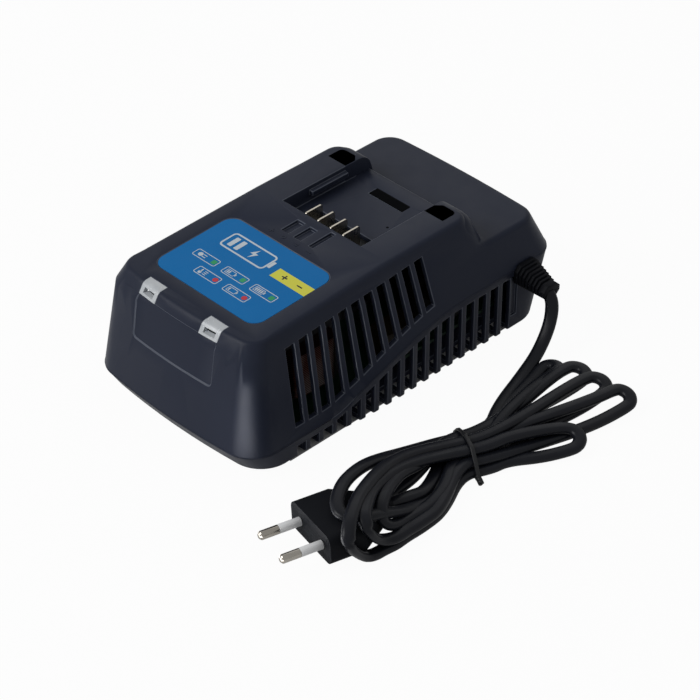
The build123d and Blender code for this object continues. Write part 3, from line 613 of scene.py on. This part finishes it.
def addOutline(curve, outline):
    # one closed flat line
    spline = curve.splines.new("POLY")
    spline.points.add(len(outline) - 1)
    for point, (x, y) in zip(spline.points, outline):
        point.co = (x * mm, y * mm, 0, 1)
    spline.use_cyclic_u = True


def curveMesh(name, curve):
    piece = bpy.data.objects.new(name, curve)
    bpy.context.scene.collection.objects.link(piece)
    showOnly(piece)
    bpy.ops.object.convert(target="MESH")
    return bpy.context.object


def flatInk(name, outlines, material, height, thickness=label["ink"]):
    # closed flat outlines, filled, thickened and laid on the label's slope
    curve = bpy.data.curves.new(name, "CURVE")
    curve.dimensions = "2D"
    curve.fill_mode = "BOTH"
    curve.extrude = thickness * mm / 2
    for outline in outlines:
        addOutline(curve, outline)
    piece = curveMesh(name, curve)
    low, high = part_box("status_label")
    thick = label["sheet"] * mm
    slope = atan2(high.z - low.z - thick, high.y - low.y)
    piece.rotation_euler = (slope, 0, 0)
    piece.location = ((low.x + high.x) / 2, (low.y + high.y) / 2, (low.z + high.z + thick) / 2 + height * mm)
    settle(piece)
    wear(piece, material)
    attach(piece, chargerBody)


def battery(x, y, width, depth, bars):
    # outline with a nub and charge bars
    shapes = boxLine(x, y, width, depth, cell["corner"], cell["line"])
    shapes.append(bar(x + width / 2 + cell["nubPlace"], y, cell["nubWidth"], depth * cell["nubShare"]))
    pitch = (width - 2 * cell["margin"]) / cell["bars"]
    start = x - width / 2 + cell["margin"]
    for k in range(bars):
        middle = start + pitch * (k + 0.5)
        shapes.append(bar(middle, y, pitch * cell["barShare"], depth - 2 * cell["barMargin"]))
    return shapes


def bolt(x, y, size):
    points = ((0.15, 1), (-0.55, -0.1), (-0.05, -0.1), (-0.2, -1), (0.55, 0.2), (0.05, 0.2))
    return [(x + size * px, y + size * py) for px, py in points]


def plus(x, y, size, line):
    reach, half = size / 2, line / 2
    corner = [(half, reach), (half, half), (reach, half)]
    points = []
    for turn in range(4):
        for px, py in corner:
            points.append((x + px * cos(turn * pi / 2) + py * sin(turn * pi / 2),
                           y - px * sin(turn * pi / 2) + py * cos(turn * pi / 2)))
    return points


def sign(x, y, look):
    shapes = []
    if "disc" in look:
        across, along, radius = look["disc"]
        shapes.append(disc(x + across, y + along, radius))
    for across, along, width, depth in look.get("bars", ()):
        shapes.append(bar(x + across, y + along, width, depth))
    if "cell" in look:
        across, width, depth, bars = look["cell"]
        shapes += battery(x + across, y, width, depth, bars)
    return shapes


def emblemShapes():
    # large battery with a bolt
    x, y = emblem["place"]
    width, depth = emblem["width"], emblem["depth"]
    shapes = boxLine(x, y, width, depth, emblem["corner"], emblem["line"])
    shapes.append(bar(x + width / 2 + emblem["nubPlace"], y, emblem["nubWidth"], depth * emblem["nubShare"]))
    tall = depth - 2 * emblem["barMargin"]
    for k in range(emblem["bars"]):
        middle = x + emblem["barStart"] + k * emblem["barPitch"]
        shapes.append(roundedBox(middle, y, emblem["barWidth"], tall, emblem["barCorner"]))
    shapes.append(bolt(x + emblem["boltPlace"], y, emblem["boltSize"]))
    return shapes


def labelPrint():
    upper = [(x, label["upperRow"]) for x in label["upperBoxes"]]
    lower = [(x, label["lowerRow"]) for x in label["lowerBoxes"]]
    white = []
    for x, y in upper + lower:
        white += boxLine(x, y, label["boxWidth"], label["boxDepth"], label["corner"], label["line"])
    for (x, y), look in zip(upper + lower, signs):
        white += sign(x, y, look)
    white += emblemShapes()
    flatInk("labelWhite", white, materials["printWhite"], label["lift"] + label["ink"])
    greens = [roundedBox(x + label["lampPlace"], y, *label["greenLamp"]) for x, y in upper]
    flatInk("labelGreen", greens, materials["printGreen"], label["lift"])
    reds = [disc(x + label["lampPlace"], y, label["redLamp"]) for x, y in lower]
    flatInk("labelRed", reds, materials["printRed"], label["lift"])
    flatInk("labelTag", [bar(*label["tag"])], materials["printYellow"], label["lift"])
    x, y = label["tag"][:2]
    away, size, line = label["tagMark"]
    tagMarks = [plus(x - away, y, size, line), bar(x + away, y, size, line)]
    flatInk("labelTagMarks", tagMarks, materials["housingBase"], label["lift"] + label["ink"])


def contactPrint():
    row = marks["row"]
    x, size, line = marks["plus"]
    raised = [plus(x, row, size, line)]
    x, outer, inner = marks["ring"]
    raised += [disc(x, row, outer), disc(x, row, inner)]
    x, away, width, depth = marks["pair"]
    raised += [bar(x, row + away, width, depth), bar(x, row - away, width, depth)]
    x, width, depth = marks["minus"]
    raised.append(bar(x, row, width, depth))
    flatInk("contactMarks", raised, materials["housingTop"], marks["lift"], marks["height"])


labelPrint()
contactPrint()
print("label ready")

# full ends of the two rails, and black plates of painted shade in the latch slot and a dimple of the channel
# floor
railEnd = {
    "inner": 24.1, "outerTop": 40.5, "outerLow": 46.2, "front": 36.0, "rearTop": 50.2, "rearLow": 55.0,
    "low": 49.8, "top": 65.0, "corner": 7.0, "cornerSteps": 6, "rim": 5.0, "rimSteps": 5, "edge": 0.3,
    "edgeSteps": 2, "smooth": 40, "near": 1.0, "nearTop": 0.5,
}
# x, y, width, depth and corner of each plate
shadePlates = {
    "floor": 57.0, "lift": 0.04, "thick": 0.3, "cornerSteps": 4,
    "latchSlotShade": (0.0, 39.8, 20.6, 5.2, 0.4), "dimpleShade": (14.2, 24.1, 1.2, 1.2, 0.588),
}


def selectEdges(piece, wanted):
    cage = bmesh.from_edit_mesh(piece.data)
    for part in (cage.verts, cage.edges, cage.faces):
        for item in part:
            item.select = False
    for edge in cage.edges:
        if wanted(*[vert.co / mm for vert in edge.verts]):
            edge.select_set(True)
    bmesh.update_edit_mesh(piece.data)


def railNose(side):
    # block with the rail's own slopes, its outer rear corner and upper rim rounded
    look = railEnd
    width = look["outerTop"] - look["inner"]
    depth = look["rearTop"] - look["front"]
    height = look["top"] - look["low"]
    pastInner, pastFront = look["inner"] + look["near"], look["front"] + look["near"]
    bpy.ops.object.select_all(action="DESELECT")
    bpy.ops.mesh.primitive_cube_add(size=mm)
    nose = bpy.context.object
    nose.name = "railNoseRight" if side > 0 else "railNoseLeft"
    nose.scale = (width, depth, height)
    nose.location = (
        (look["inner"] + width / 2) * mm, (look["front"] + depth / 2) * mm, (look["low"] + height / 2) * mm
    )
    settle(nose)
    # the foot reaches further out and further back than the top
    for vert in nose.data.vertices:
        if vert.co.z < (look["low"] + look["near"]) * mm:
            if vert.co.x > pastInner * mm:
                vert.co.x = look["outerLow"] * mm
            if vert.co.y > pastFront * mm:
                vert.co.y = look["rearLow"] * mm
    bpy.ops.object.mode_set(mode="EDIT")
    selectEdges(nose, lambda a, b: min(a.x, b.x) > pastInner and min(a.y, b.y) > pastFront)
    bpy.ops.mesh.bevel(offset=look["corner"] * mm, segments=look["cornerSteps"], affect="EDGES")
    selectEdges(
        nose,
        lambda a, b: min(a.z, b.z) > look["top"] - look["nearTop"]
        and max(a.x, b.x) > pastInner and max(a.y, b.y) > pastFront,
    )
    bpy.ops.mesh.bevel(offset=look["rim"] * mm, segments=look["rimSteps"], affect="EDGES")
    bpy.ops.object.mode_set(mode="OBJECT")
    soften = nose.modifiers.new("soften", "BEVEL")
    soften.width = look["edge"] * mm
    soften.segments = look["edgeSteps"]
    soften.angle_limit = radians(look["smooth"])
    applyModifiers(nose)
    if side < 0:
        nose.scale = (-1, 1, 1)
        settle(nose)
        bpy.ops.object.mode_set(mode="EDIT")
        bpy.ops.mesh.select_all(action="SELECT")
        bpy.ops.mesh.normals_make_consistent(inside=False)
        bpy.ops.object.mode_set(mode="OBJECT")
    bpy.ops.object.shade_smooth_by_angle(angle=radians(look["smooth"]))
    wear(nose, materials["housingTop"])
    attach(nose, chargerBody)


def shadePlate(name, x, y, width, depth, corner):
    # thin black plate in the channel floor, painted shade of a recess
    look = shadePlates
    bpy.ops.object.select_all(action="DESELECT")
    bpy.ops.mesh.primitive_cube_add(size=mm)
    plate = bpy.context.object
    plate.name = name
    plate.scale = (width, depth, look["thick"])
    plate.location = (x * mm, y * mm, (look["floor"] + look["lift"] - look["thick"] / 2) * mm)
    settle(plate)
    bpy.ops.object.mode_set(mode="EDIT")
    selectEdges(plate, lambda a, b: abs(a.z - b.z) > look["thick"] / 2)
    bpy.ops.mesh.bevel(offset=corner * mm, segments=look["cornerSteps"], affect="EDGES")
    bpy.ops.object.mode_set(mode="OBJECT")
    wear(plate, materials["paintedShadeBlack"])
    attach(plate, chargerBody)


for side in (-1, 1):
    railNose(side)
for name in ("latchSlotShade", "dimpleShade"):
    shadePlate(name, *shadePlates[name])
print("rails ready")

# flat two-core mains cord, tied in a hank
cord = {
    "width": 6.0, "thick": 3.9, "length": 1.66, "exit": (0.0706, 0.0715, 0.0263),
    "mains": [
        (45, 71.5, 30), (56, 71.5, 29.4), (69.5, 71.5, 26.3), (73.3, 68, 16), (76.5, 57, 6), (80, 43, 2.5),
        (88, 18, 2.5),
    ],
    "plug": [(107.5, -44.8, 5.2), (107.14, -55.1, 8.2), (104.5, -64.78, 8.2)],
    "waist": (100.1, -14.1), "heading": 62.7, "lead": (-11.2, 2.0), "last": (-5.6, 2.0),
    "leadReach": (14, -6), "strandReach": 7, "loopTurns": (-75, -38, 0, 38, 75), "loopGrow": 1.05,
    "stepsAlong": 8, "stepsRound": 3,
}
# each turn goes round a loop at the plug, out under the tie, round a loop at the far end and back;
# a loop is its own points, or a tip, radius, heading and the points before and after it
hankTurns = [
    {
        "near": [
            (85, -36, 7), (86.2, -50, 13), (87.5, -60.8, 17), (88.9, -69.4, 18.5), (90.9, -77.2, 18.8),
            (94.7, -83.9, 18.8), (98.5, -88.5, 18.8), (103, -91.3, 18.3), (107.6, -89.5, 17.6),
            (110.5, -83, 16.4), (111.3, -74, 13.5), (112, -61, 7), (110.6, -44, 3),
        ],
        "out": (5.6, 2.0),
        "far": (
            (109.5, 61.5, 5.5), 5.5, 86, [(109.5, 14, 3), (114, 40, 3.2)],
            [(103, 42, 6.5), (104.2, 15, 8)],
        ),
        "back": (-1.0, 8.5),
    },
    {
        "near": [
            (92.4, -40, 13.5), (92.9, -52.4, 16), (95.4, -62.1, 18), (98.9, -71.4, 19.5),
            (102.8, -80.2, 20.8), (108.6, -89.4, 21.8), (113.6, -96.4, 21.4), (116.9, -100.1, 18.6),
            (117.2, -98.6, 13), (116.7, -93.9, 7), (116.9, -89.8, 3.4), (117.7, -85.6, 2.4),
            (117.8, -80.7, 2.2), (118.8, -75, 2.2), (118.4, -69, 2.2), (118.9, -59.6, 2.2),
            (118, -47, 2.2),
        ],
        "out": (11.2, 2.0),
        "far": (
            (128.5, 25.5, 5), 5.5, 48, [(114.5, -5, 2.2), (123.5, 7.5, 2.2)],
            [(118, 20, 7.5), (110, 2, 9)],
        ),
        "back": (4.6, 8.5),
    },
    {
        "near": [
            (97.4, -40, 12.5), (96.6, -53, 15), (98.6, -63.9, 16.5), (101.7, -72.2, 18),
            (106.8, -79.6, 19.5), (112.2, -86.7, 20.5), (116.3, -89.2, 18.6), (117.1, -87.4, 13.5),
            (117.2, -83.4, 8.6), (118.1, -79, 6.4), (119.4, -75.2, 6.2), (119.3, -69.3, 6.2),
            (119.8, -61.6, 6.2), (119.2, -49, 6),
        ],
        "out": (8.4, 5.3),
        "far": (
            (124, 62, 5.5), 5, 72, [(117.5, 12, 3.5), (124.5, 38, 2.5)],
            [(117, 47, 7.5), (108.5, 19, 7)],
        ),
        "back": (-2.8, 5.3),
    },
    {
        "near": [
            (95.4, -33, 8.5), (98, -44.4, 12), (98.6, -52.3, 13.8), (101.7, -61.2, 15),
            (105.6, -68.8, 15.8), (109.6, -74.8, 15.5), (112.6, -77, 13), (114.6, -75.5, 10),
            (115.2, -71.8, 8), (114.6, -65.3, 6.4), (115, -57.1, 6), (114.9, -49.7, 6), (111, -37, 6),
        ],
        "out": (2.8, 5.3),
        "far": ((97.5, 61.5, 5), 5, 92, [(101.5, 18, 6), (102.5, 44, 4)], [(92.8, 46, 6), (96, 20, 5)]),
        "back": (-8.4, 5.3),
    },
    {
        "near": (
            (103.5, -61, 3), 5.2, -80, [(97, -42, 5), (97.3, -52, 4.5)],
            [(108.5, -52, 3), (106.5, -35, 3.5)],
        ),
        "out": (0.0, 2.0),
        "far": (
            (87, 55.5, 4.5), 4, 98, [(97.5, 8, 6.5), (92.3, 34, 6)],
            [(85.6, 42, 2.5), (91.3, 12, 2.2)],
        ),
        "back": (-5.6, 2.0),
    },
]


def underTie(slot, along):
    across, height = slot
    heading = radians(cord["heading"])
    x = cord["waist"][0] + across * sin(heading) + along * cos(heading)
    y = cord["waist"][1] - across * cos(heading) + along * sin(heading)
    return (x, y, height)


def loopPoints(loop):
    if isinstance(loop, list):
        return loop
    tip, radius, heading, outward, inward = loop
    ahead = Vector((cos(radians(heading)), sin(radians(heading))))
    left = Vector((-ahead.y, ahead.x))
    centre = Vector(tip[:2]) - ahead * radius
    points = list(outward)
    for turn in cord["loopTurns"]:
        spot = centre + cord["loopGrow"] * radius * (ahead * cos(radians(turn)) + left * sin(radians(turn)))
        side = outward[-1] if turn < 0 else inward[0]
        share = abs(turn) / (2 * cord["loopTurns"][-1])
        points.append((spot.x, spot.y, tip[2] * (1 - share) + side[2] * share))
    return points + list(inward)


def cordRoute():
    route = list(cord["mains"])
    route += [underTie(cord["lead"], along) for along in cord["leadReach"]]
    reach = cord["strandReach"]
    for turn in hankTurns:
        route += loopPoints(turn["near"])
        route += [underTie(turn["out"], -reach), underTie(turn["out"], reach)]
        route += loopPoints(turn["far"])
        route += [underTie(turn["back"], reach), underTie(turn["back"], -reach)]
    return route + list(cord["plug"])


def flatCord(name, route):
    curve = bpy.data.curves.new(name, "CURVE")
    curve.dimensions = "3D"
    curve.twist_mode = "Z_UP"
    curve.resolution_u = cord["stepsAlong"]
    curve.bevel_depth = cord["thick"] / 2 * mm
    curve.extrude = (cord["width"] - cord["thick"]) / 2 * mm
    curve.bevel_resolution = cord["stepsRound"]
    curve.use_fill_caps = True
    spline = curve.splines.new("NURBS")
    spline.points.add(len(route) - 1)
    for point, (x, y, z) in zip(spline.points, route):
        point.co = (x * mm, y * mm, z * mm, 1)
        point.tilt = radians(90)
    spline.order_u = 3
    spline.use_endpoint_u = True
    piece = bpy.data.objects.new(name, curve)
    bpy.context.scene.collection.objects.link(piece)
    wear(piece, materials["cordSheath"])
    return piece


mainsCord = flatCord("mainsCord", cordRoute())
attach(mainsCord, chargerBody)
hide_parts("mains_cord", "cord_hank", "plug_lead")

# wire tie round the hank, its ends twisted together
tie = {
    "band": 1.9, "thick": 0.9, "gap": 0.35, "slack": 0.1,
    "stepsRound": 2, "bandSmooth": 35, "twistSmooth": 40, "wire": 0.6,
    "twistTurns": 2.5, "twistLength": 4.5, "twistRadius": 0.75, "twistHeight": 2.0,
    "twistHeading": (0.86, -0.45, -0.06), "twistSteps": 42, "twistEase": 0.9,
}


def hull(points):
    # outline round all the points, anticlockwise
    order = sorted(set(points))
    chains = []
    for run in (order, order[::-1]):
        chain = []
        for point in run:
            while len(chain) > 1 and (
                (chain[-1][0] - chain[-2][0]) * (point[1] - chain[-2][1])
                - (chain[-1][1] - chain[-2][1]) * (point[0] - chain[-2][0])
            ) <= 0:
                chain.pop()
            chain.append(point)
        chains += chain[:-1]
    return chains


def tieBand():
    # the band follows the strands it holds
    grow = tie["gap"] + tie["thick"] / 2
    around = []
    slots = [cord["lead"], cord["last"]] + [turn[end] for turn in hankTurns for end in ("out", "back")]
    for across, height in slots:
        radius = cord["thick"] / 2 + grow - tie["slack"]
        around += roundedBox(across, height, cord["width"] + 2 * grow, cord["thick"] + 2 * grow, radius)
    outline = hull([(round(x, 3), round(max(y, tie["thick"] / 2), 3)) for x, y in around])
    curve = bpy.data.curves.new("hankTie", "CURVE")
    curve.dimensions = "2D"
    curve.fill_mode = "NONE"
    curve.extrude = (tie["band"] - tie["thick"]) / 2 * mm
    curve.bevel_depth = tie["thick"] / 2 * mm
    curve.bevel_resolution = tie["stepsRound"]
    addOutline(curve, outline)
    piece = curveMesh("hankTie", curve)
    piece.rotation_euler = (pi / 2, 0, radians(cord["heading"] - 90))
    piece.location = (cord["waist"][0] * mm, cord["waist"][1] * mm, 0)
    settle(piece)
    bpy.ops.object.shade_smooth_by_angle(angle=radians(tie["bandSmooth"]))
    wear(piece, materials["tiePlastic"])
    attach(piece, chargerBody)
    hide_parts("cord_tie")
    return piece


def tieTwist():
    # the two wire ends wound round each other, lying beside the hank
    outermost = max(turn["out"][0] for turn in hankTurns)
    start = Vector(underTie((cord["width"] / 2 + outermost + tie["gap"], tie["twistHeight"]), 0))
    ahead = Vector(tie["twistHeading"]).normalized()
    side = ahead.cross(Vector((0, 0, 1))).normalized()
    rise = side.cross(ahead)
    curve = bpy.data.curves.new("tieTwist", "CURVE")
    curve.dimensions = "3D"
    curve.bevel_depth = tie["wire"] * mm
    curve.bevel_resolution = tie["stepsRound"]
    curve.use_fill_caps = True
    steps = tie["twistSteps"]
    for phase in (0, pi):
        spline = curve.splines.new("POLY")
        spline.points.add(steps)
        for k, point in enumerate(spline.points):
            turn = phase + 2 * pi * tie["twistTurns"] * k / steps
            spot = start + ahead * tie["twistLength"] * (k / steps) ** tie["twistEase"]
            spot += (side * cos(turn) + rise * sin(turn)) * tie["twistRadius"]
            point.co = (*(spot * mm), 1)
    piece = curveMesh("tieTwist", curve)
    bpy.ops.object.shade_smooth_by_angle(angle=radians(tie["twistSmooth"]))
    wear(piece, materials["tiePlastic"])
    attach(piece, chargerBody)
    return piece


twist = tieTwist()
hankTie = tieBand()
print("cord ready")

# floor, light and camera
stageLook = {
    "floor": 6.0, "floorPlace": (0, 0, -0.0001), "floorGrey": (0.82, 0.82, 0.82, 1), "floorWhite": 0.96,
    "mirrorShare": 0.28, "ambient": 0.27, "aim": (0.03, -0.01, 0.02),
    "glowPatch": (0.078, -0.175, 0.0), "glowPatchTurn": -72.0, "glowPatchSize": (0.085, 0.05), "glowPatchStrength": 45.0,
    "glowPatchFade": (1.0, 0.5), "glowPatchReach": (0.018, 0.034), "footprint": (0.0495, 0.068),
    "cameraPlace": (0.671, -0.640, 0.711), "cameraTurn": (52.32, 0, 45.68), "lens": 134.81, "sensor": 36,
}
lamps = {
    "keyLamp": {"place": (-0.6, -1.1, 1.0), "power": 12.5, "size": 1.0},
    "rimLamp": {"place": (-0.8, 0.9, 0.9), "power": 1.0, "size": 0.9},
}


def whiteForView(tree):
    # 1 for rays that should see the plain white background, less for reflections of it
    path = addNode(tree, "ShaderNodeLightPath")
    glossy = addNode(
        tree, "ShaderNodeMath", {0: path.outputs["Is Glossy Ray"], 1: stageLook["mirrorShare"]},
        operation="MULTIPLY",
    )
    seen = addNode(
        tree, "ShaderNodeMath", {0: path.outputs["Is Camera Ray"], 1: path.outputs["Is Transmission Ray"]},
        operation="MAXIMUM",
    )
    return addNode(
        tree, "ShaderNodeMath", {0: glossy.outputs[0], 1: seen.outputs[0]}, operation="MAXIMUM"
    ).outputs[0]


def buildFloor():
    bpy.ops.object.select_all(action="DESELECT")
    bpy.ops.mesh.primitive_plane_add(size=stageLook["floor"], location=stageLook["floorPlace"])
    floor = bpy.context.object
    floor.name = "paleFloor"
    material = bpy.data.materials.new("paleFloor")
    material.use_nodes = True
    tree = material.node_tree
    tree.nodes.clear()
    matt = addNode(tree, "ShaderNodeBsdfDiffuse", {"Color": stageLook["floorGrey"]})
    # a glowing patch of floor in front of the charger, no lamp, which only reflections see; its glow is a
    # painted highlight on the near front corner and the near cord loops
    geometry = addNode(tree, "ShaderNodeNewGeometry")
    spot = geometry.outputs["Position"]
    onCard = addNode(
        tree, "ShaderNodeMapping",
        {
            "Vector": spot, "Location": stageLook["glowPatch"], "Rotation": (0, 0, radians(stageLook["glowPatchTurn"])),
            "Scale": (*stageLook["glowPatchSize"], 1.0),
        },
        vector_type="TEXTURE",
    )
    away = addNode(tree, "ShaderNodeVectorMath", {0: onCard.outputs["Vector"]}, operation="LENGTH")
    rim, full = stageLook["glowPatchFade"]
    glowPatch = addNode(
        tree, "ShaderNodeMapRange", {"Value": away.outputs["Value"], "From Min": rim, "From Max": full}
    )
    # not in the pins, which lie close above it
    path = addNode(tree, "ShaderNodeLightPath")
    near, far = stageLook["glowPatchReach"]
    distant = addNode(
        tree, "ShaderNodeMapRange", {"Value": path.outputs["Ray Length"], "From Min": near, "From Max": far}
    )
    shown = addNode(
        tree, "ShaderNodeMath", {0: glowPatch.outputs["Result"], 1: distant.outputs["Result"]},
        operation="MULTIPLY",
    )
    mirrored = addNode(
        tree, "ShaderNodeMath", {0: shown.outputs[0], 1: path.outputs["Is Glossy Ray"]}, operation="MULTIPLY"
    )
    glow = addNode(
        tree, "ShaderNodeMath", {0: mirrored.outputs[0], 1: stageLook["glowPatchStrength"], 2: 1.0},
        operation="MULTIPLY_ADD",
    )
    white = addNode(tree, "ShaderNodeEmission", {"Color": (1, 1, 1, 1), "Strength": glow.outputs[0]})
    # below the charger the floor keeps its shade
    parts = addNode(tree, "ShaderNodeSeparateXYZ", {0: spot})
    clear = 0.0
    for axis, half in zip("XY", stageLook["footprint"]):
        size = addNode(tree, "ShaderNodeMath", {0: parts.outputs[axis]}, operation="ABSOLUTE")
        past = addNode(tree, "ShaderNodeMath", {0: size.outputs[0], 1: half}, operation="GREATER_THAN")
        either = addNode(tree, "ShaderNodeMath", {0: past.outputs[0], 1: clear}, operation="MAXIMUM")
        clear = either.outputs[0]
    whiteShare = addNode(
        tree, "ShaderNodeMath", {0: whiteForView(tree), 1: stageLook["floorWhite"]}, operation="MULTIPLY"
    )
    share = addNode(tree, "ShaderNodeMath", {0: whiteShare.outputs[0], 1: clear}, operation="MULTIPLY")
    mixed = addNode(
        tree, "ShaderNodeMixShader", {0: share.outputs[0], 1: matt.outputs[0], 2: white.outputs[0]}
    )
    # seen from below, the floor lets the underside through
    through = addNode(tree, "ShaderNodeBsdfTransparent")
    sided = addNode(
        tree, "ShaderNodeMixShader",
        {0: geometry.outputs["Backfacing"], 1: mixed.outputs[0], 2: through.outputs[0]},
    )
    addNode(tree, "ShaderNodeOutputMaterial", {"Surface": sided.outputs[0]})
    wear(floor, material)


def buildWorld():
    world = bpy.data.worlds.new("studio")
    bpy.context.scene.world = world
    world.use_nodes = True
    tree = world.node_tree
    tree.nodes.clear()
    lit = addNode(tree, "ShaderNodeBackground", {"Color": (1, 1, 1, 1), "Strength": stageLook["ambient"]})
    seen = addNode(tree, "ShaderNodeBackground", {"Color": (1, 1, 1, 1), "Strength": 1.0})
    mixed = addNode(
        tree, "ShaderNodeMixShader", {0: whiteForView(tree), 1: lit.outputs[0], 2: seen.outputs[0]}
    )
    addNode(tree, "ShaderNodeOutputWorld", {"Surface": mixed.outputs[0]})


def softLamp(name, look):
    lamp = bpy.data.lights.new(name, "AREA")
    lamp.energy = look["power"]
    lamp.size = look["size"]
    piece = bpy.data.objects.new(name, lamp)
    piece.location = look["place"]
    aim = Vector(stageLook["aim"]) - piece.location
    piece.rotation_euler = aim.to_track_quat("-Z", "Y").to_euler()
    bpy.context.scene.collection.objects.link(piece)


def buildCamera():
    lens = bpy.data.cameras.new("viewCamera")
    lens.lens = stageLook["lens"]
    lens.sensor_width = stageLook["sensor"]
    piece = bpy.data.objects.new("viewCamera", lens)
    piece.location = stageLook["cameraPlace"]
    piece.rotation_euler = [radians(turn) for turn in stageLook["cameraTurn"]]
    bpy.context.scene.collection.objects.link(piece)
    bpy.context.scene.camera = piece


buildFloor()
buildWorld()
for lampName, look in lamps.items():
    softLamp(lampName, look)
buildCamera()
bpy.context.scene.view_settings.view_transform = "Standard"
print("stage ready")
